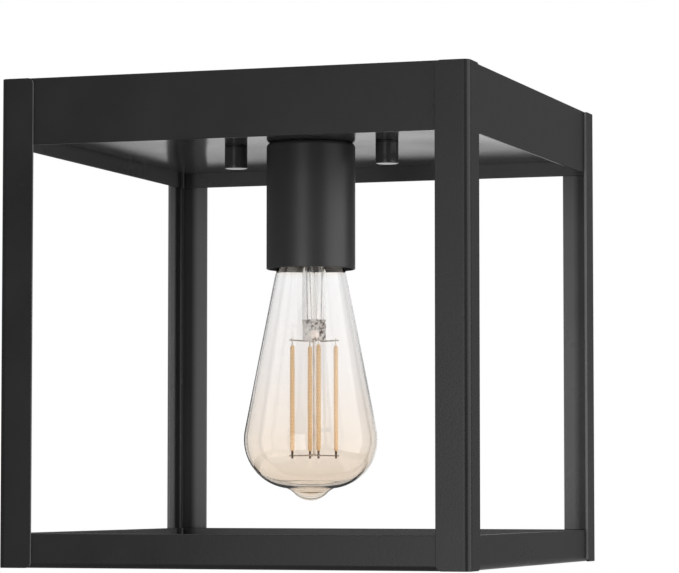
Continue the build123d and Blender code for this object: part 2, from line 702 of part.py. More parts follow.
with BuildPart() as bulb_contact:
    with BuildSketch(Plane.XY.offset(bulb_seat - CONTACT)):
        Circle(CONTACT_D / 2)
    extrude(amount=CONTACT)
    fillet(bulb_contact.edges().sort_by(Axis.Z)[-1], CONTACT_EDGE)
bulb_contact.part.label = "bulb_contact"
export_step(bulb_contact.part, "parts/bulb_contact.step")


# Driver board standing in the base, with one capacitor lying on it
with BuildPart() as bulb_driver:
    with BuildSketch(Plane.XY.offset(board_low)):
        Rectangle(BOARD_WIDTH, BOARD)
    extrude(amount=BOARD_LENGTH)
    with BuildSketch(Plane.XY.offset(base_top - (BOARD_LENGTH + CAPACITOR_LENGTH) / 2)):
        with Locations((0, BOARD / 2 + CAPACITOR_D / 2 - GLUE_GAP)):
            Circle(CAPACITOR_D / 2)
    extrude(amount=CAPACITOR_LENGTH)
bulb_driver.part.label = "bulb_driver"
export_step(bulb_driver.part, "parts/bulb_driver.step")


# Glass stem: flare in the neck, tube, and the flat press at its lower end
flare_top = base_rim
flare_low = flare_top - STEM_FLARE

with BuildPart() as bulb_stem:
    with BuildSketch(Plane.XZ):
        with BuildLine():
            Polyline(
                (flare_r, flare_top),
                (stem_r, flare_low),
                (stem_r, press_top),
                (stem_r - STEM_WALL, press_top),
                (stem_r - STEM_WALL, flare_low),
                (flare_r - STEM_WALL, flare_top),
                close=True,
            )
        make_face()
    revolve(axis=Axis.Z)
    with BuildSketch(Plane.XY.offset(press_top)):
        Circle(stem_r)
    with BuildSketch(Plane.XY.offset(press_low)):
        Ellipse(PRESS_WIDTH / 2, PRESS_DEPTH / 2)
    loft()
bulb_stem.part.label = "bulb_stem"
export_step(bulb_stem.part, "parts/bulb_stem.step")


# Two lead wires inside the stem, from the driver board to the press
with BuildPart() as bulb_lead_wires:
    with BuildSketch(Plane.XY.offset(press_top)):
        with GridLocations(LEAD_WIRE_SPACING, LEAD_WIRE_SPACING, 2, 1):
            Circle(wire_r)
    extrude(amount=board_low - press_top)
bulb_lead_wires.part.label = "bulb_lead_wires"
export_step(bulb_lead_wires.part, "parts/bulb_lead_wires.step")


def wire_star(height, tail):
    """Radial wires from a knot at one height, with a tail at each end towards the filaments."""
    with BuildPart() as star:
        for number in range(FILAMENT_COUNT):
            angle = math.radians(FILAMENT_TURN + number * 360 / FILAMENT_COUNT)
            spoke = (math.cos(angle), math.sin(angle), 0)
            with BuildSketch(Plane(origin=(0, 0, height), z_dir=spoke).offset(KNOT_D / 4)):
                Circle(wire_r)
            extrude(amount=filament_r + wire_r - KNOT_D / 4)
        with BuildSketch(Plane.XY.offset(height - KNOT / 2)):
            Circle(KNOT_D / 2)
        extrude(amount=KNOT)
        with BuildSketch(Plane.XY.offset(height)):
            with PolarLocations(filament_r, FILAMENT_COUNT, start_angle=FILAMENT_TURN):
                Circle(TAIL_D / 2)
        extrude(amount=tail)
    return star.part


# Top wires under the press, and the post with the lower wires
with BuildPart() as bulb_top_wires:
    add(wire_star(top_wire_z, -FILAMENT_TAIL))
bulb_top_wires.part.label = "bulb_top_wires"
export_step(bulb_top_wires.part, "parts/bulb_top_wires.step")

with BuildPart() as bulb_post:
    add(wire_star(low_wire_z, FILAMENT_TAIL))
    with BuildSketch(Plane.XY.offset(low_wire_z - KNOT / 2)):
        Circle(CENTRE_POST_D / 2)
    extrude(amount=top_wire_z - low_wire_z)
bulb_post.part.label = "bulb_post"
export_step(bulb_post.part, "parts/bulb_post.step")


# Straight filaments between the upper and lower wires
with BuildPart() as bulb_filaments:
    with BuildSketch(Plane.XY.offset(filament_low)):
        with PolarLocations(filament_r, FILAMENT_COUNT, start_angle=FILAMENT_TURN):
            Circle(FILAMENT_D / 2)
    extrude(amount=FILAMENT_LENGTH)
    fillet(bulb_filaments.edges().filter_by(GeomType.CIRCLE), FILAMENT_D / 8)
bulb_filaments.part.label = "bulb_filaments"
export_step(bulb_filaments.part, "parts/bulb_filaments.step")
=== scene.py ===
"""Dresses a square open-frame ceiling light: coated sheet cage, cup lampholder and filament bulb."""

import json
import logging
import math
from collections.abc import Callable, Iterable, Sequence
from dataclasses import dataclass, field
from enum import Enum

import bmesh
import bpy
from mathutils import Matrix, Vector
from mathutils.noise import noise_vector, seed_set

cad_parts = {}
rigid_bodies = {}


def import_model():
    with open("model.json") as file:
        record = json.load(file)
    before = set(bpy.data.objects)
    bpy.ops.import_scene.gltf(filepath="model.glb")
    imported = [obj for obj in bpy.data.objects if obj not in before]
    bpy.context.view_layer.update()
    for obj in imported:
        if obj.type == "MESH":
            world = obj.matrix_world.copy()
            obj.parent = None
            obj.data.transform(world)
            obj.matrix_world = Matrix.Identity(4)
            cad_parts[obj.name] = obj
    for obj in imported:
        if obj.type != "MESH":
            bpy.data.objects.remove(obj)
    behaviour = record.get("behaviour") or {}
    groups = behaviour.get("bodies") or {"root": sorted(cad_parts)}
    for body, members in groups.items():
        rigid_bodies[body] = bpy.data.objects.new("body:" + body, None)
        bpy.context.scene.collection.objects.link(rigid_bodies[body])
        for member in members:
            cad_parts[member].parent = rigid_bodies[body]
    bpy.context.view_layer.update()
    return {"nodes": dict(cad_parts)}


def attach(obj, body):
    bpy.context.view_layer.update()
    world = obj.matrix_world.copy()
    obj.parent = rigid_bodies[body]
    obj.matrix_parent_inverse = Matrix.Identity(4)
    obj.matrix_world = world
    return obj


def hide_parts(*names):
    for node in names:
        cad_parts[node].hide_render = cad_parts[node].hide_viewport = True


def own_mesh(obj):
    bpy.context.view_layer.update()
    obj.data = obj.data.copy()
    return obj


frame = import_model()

logging.basicConfig(level=logging.INFO, format="%(levelname)s %(message)s")
log = logging.getLogger("ceiling_light")

MM = 0.001
CRISP_DEGREES = 35.0
WIRE_DEGREES = 50.0
GLASS_DEGREES = 60.0
POLE_RADIUS = 1e-7
NOISE_SPAN = (0.3, 0.7)
INWARD = "inward"

Flat = tuple[float, float]
Point = tuple[float, float, float]
Profile = list[Flat]
Color = Sequence[float]
Socket = bpy.types.NodeSocket
Sockets = dict[str | int, object]
Piece = bpy.types.Object
Work = bmesh.types.BMesh


class Body(str, Enum):
    """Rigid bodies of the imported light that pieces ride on."""

    FIXTURE = "fixture"
    CONTACT = "contact"
    BULB_CARRIER = "bulb_carrier"
    BULB = "bulb"
    WASHER_LEFT = "washer_left"
    NUT_LEFT = "nut_left"
    WASHER_RIGHT = "washer_right"
    NUT_RIGHT = "nut_right"


class Side(Enum):
    """Sides of the lamp axis on which studs and leads stand."""

    LEFT = -1
    RIGHT = 1


class Ends(Enum):
    """What becomes of the first and the last ring of a skin."""

    OPEN = "open"
    CAPPED = "capped"
    JOINED = "joined"


class NodeBench:
    """Adds nodes and links to one node tree."""

    def __init__(self, tree: bpy.types.NodeTree) -> None:
        """Start on a tree, cleared of its nodes."""
        self.tree = tree
        self.tree.nodes.clear()

    def add(self, kind: str, sockets: Sockets | None = None, **values: object) -> bpy.types.Node:
        """Add a node, and set its attributes and inputs.

        Args:
            kind: Node type name.
            sockets: A value or a feeding socket for each input, by its name or place.
            values: Node attributes to set.

        Returns:
            The new node.
        """
        node = self.tree.nodes.new(kind)
        for key, value in values.items():
            setattr(node, key, value)
        self.feed(node, sockets or {})
        return node

    def feed(self, node: bpy.types.Node, sockets: Sockets) -> None:
        """Link or set inputs of a node.

        Args:
            node: Node to feed.
            sockets: A value or a feeding socket for each input, by its name or place.
        """
        for key, value in sockets.items():
            if isinstance(value, Socket):
                self.tree.links.new(value, node.inputs[key])
            else:
                node.inputs[key].default_value = value

    def math(self, operation: str, left: Socket, right: Socket | float = 0.0) -> Socket:
        """Combine two values in a Math node."""
        return self.add("ShaderNodeMath", {0: left, 1: right}, operation=operation).outputs[0]

    def vector(self, x: Socket | float = 0.0, y: Socket | float = 0.0, z: Socket | float = 0.0) -> Socket:
        """Join three values to a vector."""
        return self.add("ShaderNodeCombineXYZ", {"X": x, "Y": y, "Z": z}).outputs[0]


class ShaderBench(NodeBench):
    """Adds patterns to the nodes of a material or of the world."""

    def place(self, stretch: Point = (1.0, 1.0, 1.0)) -> Socket:
        """Object coordinates, stretched along each axis."""
        coordinates = self.add("ShaderNodeTexCoord").outputs["Object"]
        return self.add("ShaderNodeMapping", {"Vector": coordinates, "Scale": stretch}).outputs["Vector"]

    def part(self, vector: Socket, axis: str) -> Socket:
        """One part of a vector."""
        return self.add("ShaderNodeSeparateXYZ", {"Vector": vector}).outputs[axis]

    def along(self, vector: Socket, direction: Point) -> Socket:
        """Length of a vector along a direction."""
        node = self.add("ShaderNodeVectorMath", {0: vector, 1: direction}, operation="DOT_PRODUCT")
        return node.outputs["Value"]

    def noise(self, place: Socket, cells: float, detail: float) -> Socket:
        """Noise at a place, with so many cells to the metre and octaves of finer noise."""
        node = self.add("ShaderNodeTexNoise", {"Vector": place, "Scale": cells, "Detail": detail})
        return node.outputs["Fac"]

    def remap(self, value: Socket, start: float, end: float, low: float = 0.0, high: float = 1.0) -> Socket:
        """Map the span from start to end onto the span from low to high."""
        spans = {"Value": value, "From Min": start, "From Max": end, "To Min": low, "To Max": high}
        return self.add("ShaderNodeMapRange", spans).outputs["Result"]

    def spread(self, value: Socket, low: float, high: float) -> Socket:
        """Map the span that a noise mostly covers onto a range."""
        return self.remap(value, *NOISE_SPAN, low, high)

    def ramp(self, value: Socket, *stops: tuple[float, Color]) -> Socket:
        """Colour ramp through the given stops.

        Args:
            value: Socket that drives the ramp.
            stops: Positions with their colours.

        Returns:
            The colour socket.
        """
        node = self.add("ShaderNodeValToRGB", {"Fac": value})
        elements = node.color_ramp.elements
        while len(elements) < len(stops):
            elements.new(0.5)
        for element, (position, color) in zip(elements, stops):
            element.position = position
            element.color = (*color, 1.0)
        return node.outputs["Color"]


class FinishPen(ShaderBench):
    """Draws one new material round a principled shader."""

    def __init__(self, name: str) -> None:
        """Make the material with its shader and output.

        Args:
            name: Name of the new material.
        """
        self.material = bpy.data.materials.new(name)
        self.material.use_nodes = True
        super().__init__(self.material.node_tree)
        self.shader = self.add("ShaderNodeBsdfPrincipled")
        self.output = self.add("ShaderNodeOutputMaterial", {"Surface": self.shader.outputs[0]})

    def bump(self, height: Socket, strength: float, depth: float) -> None:
        """Bump the shader's normal by a height, a share of it and a depth in metres."""
        node = self.add("ShaderNodeBump", {"Height": height, "Strength": strength, "Distance": depth})
        self.feed(self.shader, {"Normal": node.outputs["Normal"]})

    def surface(self, color: Socket, roughness: Socket | float, **sockets: float) -> bpy.types.Material:
        """Set the shader.

        Args:
            color: Base colour.
            roughness: Roughness.
            sockets: Other inputs, named in small letters.

        Returns:
            The finished material.
        """
        self.feed(self.shader, {"Base Color": color, "Roughness": roughness})
        names = {name.lower().replace(" ", "_"): name for name in self.shader.inputs.keys()}
        self.feed(self.shader, {names[key]: value for key, value in sockets.items()})
        return self.material


@dataclass(frozen=True)
class CoatFinish:
    """Sprayed or powder coat: near-even colour with a fine orange peel, and, where asked, painted light on
    faces that look into the cage with painted shade towards its corners.
    """

    name: str
    color: Color
    pale: Color
    roughness: Flat
    specular: float = 0.5
    peel_cells: float = 900.0
    peel_depth: float = 0.06 * MM
    # Painted light: a lighter grey on faces that look into the cage, away from its corners.
    painted_inside_light: Color = ()
    cloud_cells: float = 35.0
    corner_shade: Flat = (95.2 * MM, 92.2 * MM)

    def material(self) -> bpy.types.Material:
        """Build the node material.

        Returns:
            The finished material.
        """
        pen = FinishPen(self.name)
        place = pen.place()
        cloud = pen.noise(place, self.cloud_cells, detail=3.0)
        tint = pen.ramp(cloud, (0.3, self.color), (0.75, self.pale))
        # Painted light on inward faces, fading to painted shade at the cage corners.
        if self.painted_inside_light:
            tint = self.paint_inside_light(pen, tint)
        pen.bump(pen.noise(place, self.peel_cells, detail=2.0), strength=0.5, depth=self.peel_depth)
        return pen.surface(tint, pen.spread(cloud, *self.roughness), specular_ior_level=self.specular)

    def paint_inside_light(self, pen: FinishPen, tint: Socket) -> Socket:
        """Mix in painted light: a lighter grey on faces that look into the cage, fading to painted shade
        towards its corners.

        Args:
            pen: Pen of the material.
            tint: Colour of the outer faces.

        Returns:
            The mixed colour socket.
        """
        place = pen.place()
        nearer = pen.math("MINIMUM", *(pen.math("ABSOLUTE", pen.part(place, axis)) for axis in "XY"))
        inward = pen.add("ShaderNodeAttribute", attribute_name=INWARD).outputs["Fac"]
        share = pen.math("MULTIPLY", inward, pen.remap(nearer, *self.corner_shade))
        mix = pen.add("ShaderNodeMix", {"Factor": share}, data_type="RGBA")
        colors = [number for number, socket in enumerate(mix.inputs) if socket.type == "RGBA"]
        pen.feed(mix, {colors[0]: tint, colors[1]: (*self.painted_inside_light, 1.0)})
        return next(socket for socket in mix.outputs if socket.type == "RGBA")


@dataclass(frozen=True)
class MetalFinish:
    """Bare or plated metal with drawn or turned streaks."""

    name: str
    color: Color
    dull: Color
    roughness: Flat
    stretch: Point = (1.0, 1.0, 1.0)
    grain_cells: float = 1800.0
    grain_depth: float = 0.02 * MM
    stain_cells: float = 160.0

    def material(self) -> bpy.types.Material:
        """Build the node material.

        Returns:
            The finished material.
        """
        pen = FinishPen(self.name)
        grain = pen.noise(pen.place(self.stretch), self.grain_cells, detail=3.0)
        stain = pen.noise(pen.place(), self.stain_cells, detail=4.0)
        tint = pen.ramp(stain, (0.35, self.dull), (0.7, self.color))
        pen.bump(grain, strength=0.3, depth=self.grain_depth)
        return pen.surface(tint, pen.spread(grain, *self.roughness), metallic=1.0)


@dataclass(frozen=True)
class MouldedFinish:
    """Moulded plastic, phenolic or soft insulation with a fine grain, and, where asked, a painted glow."""

    name: str
    color: Color
    mottle: Color
    roughness: Flat
    mottle_cells: float = 240.0
    grain_cells: float = 2600.0
    grain_depth: float = 0.03 * MM
    # Emission strength: a painted glow on a part that is no lamp.
    glow: float = 0.0

    def material(self) -> bpy.types.Material:
        """Build the node material.

        Returns:
            The finished material.
        """
        pen = FinishPen(self.name)
        place = pen.place()
        cloud = pen.noise(place, self.mottle_cells, detail=5.0)
        tint = pen.ramp(cloud, (0.35, self.mottle), (0.65, self.color))
        pen.bump(pen.noise(place, self.grain_cells, detail=2.0), strength=0.35, depth=self.grain_depth)
        return pen.surface(tint, pen.spread(cloud, *self.roughness), emission_color=tint,
                           emission_strength=self.glow)


@dataclass(frozen=True)
class TintedGlassFinish:
    """Clear blown glass whose tint changes with the height."""

    name: str
    low: float
    high: float
    wave_depth: float
    stops: Sequence[tuple[float, Color]]
    index: float = 1.45
    wave_cells: float = 60.0
    wave_stretch: Point = (1.0, 1.0, 0.25)

    def material(self) -> bpy.types.Material:
        """Build the node material.

        Returns:
            The finished material.
        """
        pen = FinishPen(self.name)
        tint = pen.ramp(pen.remap(pen.part(pen.place(), "Z"), self.low, self.high), *self.stops)
        wave = pen.noise(pen.place(self.wave_stretch), self.wave_cells, detail=1.0)
        pen.bump(wave, strength=0.15, depth=self.wave_depth)
        return pen.surface(tint, 0.0, ior=self.index, transmission_weight=1.0)


@dataclass(frozen=True)
class PressFinish:
    """Pinched stem glass: milky and a little clear, with a painted glow that stands in for light through it,
    and brown seal marks that gather on one side.
    """

    name: str
    milk: Color
    seal: Color
    middle: Point
    gather: Point
    roughness: Flat = (0.12, 0.3)
    clearness: float = 0.1
    index: float = 1.5
    # Painted glow: emission on glass that is no lamp.
    glow: float = 0.06
    mark_cells: float = 760.0
    mark_depth: float = 0.3 * MM
    mark_stretch: Point = (1.0, 1.0, 0.7)

    def material(self) -> bpy.types.Material:
        """Build the node material.

        Returns:
            The finished material.
        """
        pen = FinishPen(self.name)
        mark = pen.noise(pen.place(self.mark_stretch), self.mark_cells, detail=5.0)
        away = pen.add("ShaderNodeVectorMath", {0: pen.place(), 1: self.middle}, operation="SUBTRACT")
        gathered = pen.math("SUBTRACT", mark, pen.along(away.outputs["Vector"], self.gather))
        tint = pen.ramp(gathered, (0.36, self.seal), (0.54, self.milk))
        pen.bump(mark, strength=0.8, depth=self.mark_depth)
        return pen.surface(tint, pen.spread(mark, *self.roughness), emission_color=tint, ior=self.index,
                           emission_strength=self.glow, transmission_weight=self.clearness)


@dataclass(frozen=True)
class PhosphorFinish:
    """Filament coating: soft amber silicone with faint chips along it, and a painted glow that brightens it
    though the bulb is not lit.
    """

    name: str
    color: Color
    chip: Color
    chip_pitch: float
    chip_depth: float = 0.1 * MM
    roughness: Flat = (0.4, 0.55)
    # Painted glow: emission on a filament that is not lit.
    glow: float = 0.16
    band_pitch: float = 0.314

    def material(self) -> bpy.types.Material:
        """Build the node material.

        Returns:
            The finished material.
        """
        pen = FinishPen(self.name)
        bands = {"Vector": pen.place(), "Scale": self.band_pitch / self.chip_pitch, "Distortion": 0.4}
        wave = pen.add("ShaderNodeTexWave", bands, wave_type="BANDS", bands_direction="Z").outputs["Fac"]
        tint = pen.ramp(wave, (0.35, self.color), (0.95, self.chip))
        pen.bump(wave, strength=0.3, depth=self.chip_depth)
        return pen.surface(tint, pen.spread(wave, *self.roughness), emission_color=tint,
                           emission_strength=self.glow)


@dataclass
class Finishes:
    """Every finish on the light, made once."""

    made: dict[str, bpy.types.Material] = field(default_factory=dict)

    def build(self) -> None:
        """Make all the materials."""
        amber = [(0.0, (0.91, 0.81, 0.7)), (0.22, (0.925, 0.87, 0.81)), (0.55, (0.92, 0.9, 0.885)),
                 (0.92, (0.92, 0.92, 0.92)), (1.0, (0.82, 0.7, 0.56))]
        clear = [(0.0, (0.99, 0.98, 0.97)), (1.0, (0.99, 0.99, 0.98))]
        kinds = [
            # The powder coat's lighter inward tone is painted light, with painted shade towards the cage
            # corners.
            CoatFinish("powder_coat", (0.0138, 0.0138, 0.0143), (0.0165, 0.0165, 0.017), (0.27, 0.33), 0.42,
                       painted_inside_light=(0.125, 0.125, 0.1255)),
            CoatFinish("satin_coat", (0.03, 0.03, 0.0305), (0.033, 0.033, 0.0335), (0.36, 0.42), 0.6),
            CoatFinish("gloss_coat", (0.034, 0.034, 0.0345), (0.038, 0.038, 0.0385), (0.15, 0.19), 0.52,
                       peel_cells=500.0, peel_depth=0.01 * MM),
            CoatFinish("ground_coat", (0.03, 0.24, 0.07), (0.05, 0.3, 0.1), (0.3, 0.4),
                       peel_depth=0.05 * MM),
            MetalFinish("zinc_plate", (0.66, 0.67, 0.69), (0.5, 0.51, 0.53), (0.24, 0.4), (1.0, 12.0, 12.0)),
            MetalFinish("spring_steel", (0.52, 0.52, 0.54), (0.38, 0.38, 0.4), (0.2, 0.34)),
            MetalFinish("plain_brass", (0.76, 0.57, 0.27), (0.56, 0.39, 0.17), (0.22, 0.38)),
            MetalFinish("drawn_aluminium", (0.74, 0.74, 0.73), (0.6, 0.6, 0.59), (0.28, 0.42),
                        (6.0, 6.0, 0.6)),
            MetalFinish("rolled_base", (0.78, 0.77, 0.74), (0.62, 0.6, 0.56), (0.2, 0.36), (4.0, 4.0, 14.0)),
            MetalFinish("dull_solder", (0.6, 0.6, 0.61), (0.42, 0.42, 0.43), (0.35, 0.55)),
            MetalFinish("bare_wire", (0.66, 0.6, 0.54), (0.46, 0.4, 0.35), (0.22, 0.36)),
            MetalFinish("burnt_wire", (0.17, 0.13, 0.11), (0.1, 0.075, 0.06), (0.3, 0.45)),
            MouldedFinish("brown_phenolic", (0.2, 0.11, 0.055), (0.12, 0.06, 0.03), (0.3, 0.45)),
            MouldedFinish("pale_block", (0.8, 0.79, 0.74), (0.74, 0.73, 0.68), (0.4, 0.5)),
            MouldedFinish("black_insulation", (0.022, 0.022, 0.023), (0.016, 0.016, 0.017), (0.38, 0.5)),
            MouldedFinish("white_insulation", (0.82, 0.82, 0.8), (0.77, 0.77, 0.75), (0.38, 0.5)),
            MouldedFinish("green_insulation", (0.06, 0.33, 0.1), (0.045, 0.28, 0.08), (0.38, 0.5)),
            MouldedFinish("black_vitrite", (0.02, 0.016, 0.022), (0.012, 0.01, 0.014), (0.08, 0.16), 300.0),
            MouldedFinish("green_board", (0.045, 0.22, 0.1), (0.03, 0.16, 0.07), (0.3, 0.42), 900.0),
            # The pearl bead's glow is a painted glow that brightens it; it is no lamp.
            MouldedFinish("pearl_bead", (0.97, 0.88, 0.82), (0.95, 0.84, 0.77), (0.06, 0.14), 300.0,
                          glow=0.3),
            TintedGlassFinish("amber_glass", -176.3 * MM, -70.0 * MM, 0.6 * MM, amber),
            TintedGlassFinish("stem_glass", -100.0 * MM, -66.0 * MM, 0.2 * MM, clear),
            PressFinish("pressed_glass", (1.0, 0.98, 0.95), (0.13, 0.085, 0.06),
                        middle=(1.4 * MM, 0.5 * MM, -101.4 * MM), gather=(17.0, 5.7, 10.0)),
            PhosphorFinish("amber_phosphor", (1.0, 0.73, 0.43), (1.0, 0.64, 0.32), 1.6 * MM),
        ]
        for kind in kinds:
            self.made[kind.name] = kind.material()

    def paint(self, piece: Piece, name: str) -> None:
        """Give a piece one finish."""
        piece.data.materials.clear()
        piece.data.materials.append(self.made[name])


finishes = Finishes()


def ease(share: float) -> float:
    """Soft step from 0 to 1, level before and after."""
    share = min(1.0, max(0.0, share))
    return share * share * (3.0 - 2.0 * share)


def between(start: float, end: float, share: float) -> float:
    """Value at a share of the way from start to end."""
    return start + (end - start) * share


def arc(centre: Flat, radius: float, start: float, end: float, steps: int) -> Profile:
    """Points along an arc, from a first to a last angle in degrees."""
    angles = [math.radians(between(start, end, step / steps)) for step in range(steps + 1)]
    return [(centre[0] + radius * math.cos(angle), centre[1] + radius * math.sin(angle)) for angle in angles]


def circle(sides: int) -> Profile:
    """Points round a circle of radius 1."""
    return arc((0.0, 0.0), 1.0, 0.0, 360.0, sides)[:-1]


def new_piece(name: str, mesh: bpy.types.Mesh) -> Piece:
    """Link a mesh to the scene as a piece at the origin.

    Args:
        name: Piece name.
        mesh: Its mesh, in place.

    Returns:
        The new object.
    """
    piece = bpy.data.objects.new(name, mesh)
    bpy.context.scene.collection.objects.link(piece)
    return piece


def shade(mesh: bpy.types.Mesh, sharp_degrees: float = CRISP_DEGREES) -> None:
    """Smooth shading with edges sharper than an angle kept crisp.

    Args:
        mesh: Mesh to shade.
        sharp_degrees: Least angle of a crisp edge.
    """
    mesh.polygons.foreach_set("use_smooth", [True] * len(mesh.polygons))
    mesh.set_sharp_from_angle(angle=math.radians(sharp_degrees))
    mesh.update()


def piece_of(work: Work, name: str, sharp_degrees: float = CRISP_DEGREES) -> Piece:
    """Make a shaded piece of an edited mesh.

    Args:
        work: The edited mesh, which is freed.
        name: Piece name.
        sharp_degrees: Least angle of a crisp edge.

    Returns:
        The new object.
    """
    mesh = bpy.data.meshes.new(name)
    work.to_mesh(mesh)
    work.free()
    shade(mesh, sharp_degrees)
    return new_piece(name, mesh)


def skin(work: Work, rings: Sequence[Sequence[Point]], ends: Ends) -> None:
    """Lay faces from ring to ring, pointing outwards.

    Args:
        work: Mesh to add to.
        rings: Rings of equally many points. A ring of one point is a pole.
        ends: What becomes of the first and the last ring.
    """
    made = [[work.verts.new(point) for point in ring] for ring in rings]
    pairs = list(zip(made, made[1:]))
    if ends is Ends.JOINED:
        pairs.append((made[-1], made[0]))
    if ends is Ends.CAPPED:
        work.faces.new(made[0])
        work.faces.new(made[-1])
    sides = max(len(ring) for ring in made)
    for lower, upper in pairs:
        for here in range(sides):
            after = (here + 1) % sides
            corners = [lower[here % len(lower)], lower[after % len(lower)],
                       upper[after % len(upper)], upper[here % len(upper)]]
            face = list(dict.fromkeys(corners))
            if len(face) > 2:
                work.faces.new(face)
    bmesh.ops.recalc_face_normals(work, faces=work.faces)


def lathe(name: str, profile: Profile, segments: int, ends: Ends, x: float = 0.0,
          sharp_degrees: float = CRISP_DEGREES) -> Piece:
    """Turn a profile round an upright axis.

    Args:
        name: Piece name.
        profile: Radius and height points. A radius of 0 makes a pole.
        segments: Steps round the axis.
        ends: Joined for a closed profile, open for one that ends in poles.
        x: Place of the axis along X.
        sharp_degrees: Least angle of a crisp edge.

    Returns:
        The turned piece.
    """
    rings = []
    for radius, height in profile:
        around = [(0.0, 0.0)] if radius < POLE_RADIUS else circle(segments)
        rings.append([(x + radius * across, radius * deep, height) for across, deep in around])
    work = bmesh.new()
    skin(work, rings, ends)
    return piece_of(work, name, sharp_degrees)


def settle(piece: Piece) -> Piece:
    """Turn a piece's modifiers into a plain mesh.

    Args:
        piece: Object with modifiers.

    Returns:
        The same object without them.
    """
    bpy.context.view_layer.update()
    depsgraph = bpy.context.evaluated_depsgraph_get()
    mesh = bpy.data.meshes.new_from_object(piece.evaluated_get(depsgraph), preserve_all_data_layers=True,
                                           depsgraph=depsgraph)
    piece.modifiers.clear()
    piece.data = mesh
    return piece


def clean_copy(node: str) -> Work:
    """Copy a CAD node's mesh with its flat faces whole.

    Args:
        node: CAD node to copy.

    Returns:
        The copy, ready to edit.
    """
    work = bmesh.new()
    work.from_mesh(frame["nodes"][node].data)
    bmesh.ops.remove_doubles(work, verts=work.verts, dist=0.002 * MM)
    bmesh.ops.dissolve_limit(work, angle_limit=math.radians(0.3), verts=work.verts, edges=work.edges)
    return work


def eased_copy(node: str, name: str, width: float) -> Piece:
    """Copy a CAD node with its sharp edges eased.

    Args:
        node: CAD node to copy.
        name: Piece name.
        width: Width of the eased edge. 0 keeps the edges.

    Returns:
        The copy.
    """
    piece = piece_of(clean_copy(node), name)
    if width > 0.0:
        bevel = piece.modifiers.new("ease", "BEVEL")
        bevel.width = width
        bevel.segments = 2
        bevel.limit_method = "ANGLE"
        bevel.angle_limit = math.radians(CRISP_DEGREES)
    piece.modifiers.new("weigh", "WEIGHTED_NORMAL").keep_sharp = True
    return settle(piece)


def tube_along(name: str, points: Sequence[Point], radius: float, smooth: bool = True) -> Piece:
    """Round wire along a spline.

    Args:
        name: Piece name.
        points: Control points.
        radius: Wire radius.
        smooth: Whether the wire bends softly or goes straight from point to point.

    Returns:
        The wire as a mesh.
    """
    curve = bpy.data.curves.new(name, "CURVE")
    curve.dimensions = "3D"
    curve.bevel_depth = radius
    curve.bevel_resolution = 4
    curve.use_fill_caps = True
    curve.resolution_u = 12
    spline = curve.splines.new("NURBS" if smooth else "POLY")
    spline.points.add(len(points) - 1)
    for point, place in zip(spline.points, points):
        point.co = (*place, 1.0)
    if smooth:
        spline.order_u = 3
        spline.use_endpoint_u = True
    holder = bpy.data.objects.new(name + "_line", curve)
    bpy.context.scene.collection.objects.link(holder)
    bpy.context.view_layer.update()
    mesh = bpy.data.meshes.new_from_object(holder.evaluated_get(bpy.context.evaluated_depsgraph_get()))
    bpy.data.objects.remove(holder)
    bpy.data.curves.remove(curve)
    shade(mesh, WIRE_DEGREES)
    return new_piece(name, mesh)


def mount_piece(piece: Piece, body: Body, finish: str, slot: str, *nodes: str) -> None:
    """Paint a piece, seat it on its body and hide the CAD nodes that it replaces.

    Args:
        piece: Finished mesh piece.
        body: Body that it rides on.
        finish: Finish name.
        slot: Material slot of the record; not used.
        nodes: CAD nodes that the piece replaces.
    """
    finishes.paint(piece, finish)
    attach(piece, body.value)
    if nodes:
        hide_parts(*nodes)
    log.info("piece %s on %s in %s", piece.name, body.value, finish)


def mount_copies(rows: Iterable[tuple[str, str, float, Body, str, str]]) -> None:
    """Mount eased copies: node, piece name, width of the eased edge, body, finish and slot of each."""
    for node, name, width, body, finish, slot in rows:
        mount_piece(eased_copy(node, name, width), body, finish, slot, node)


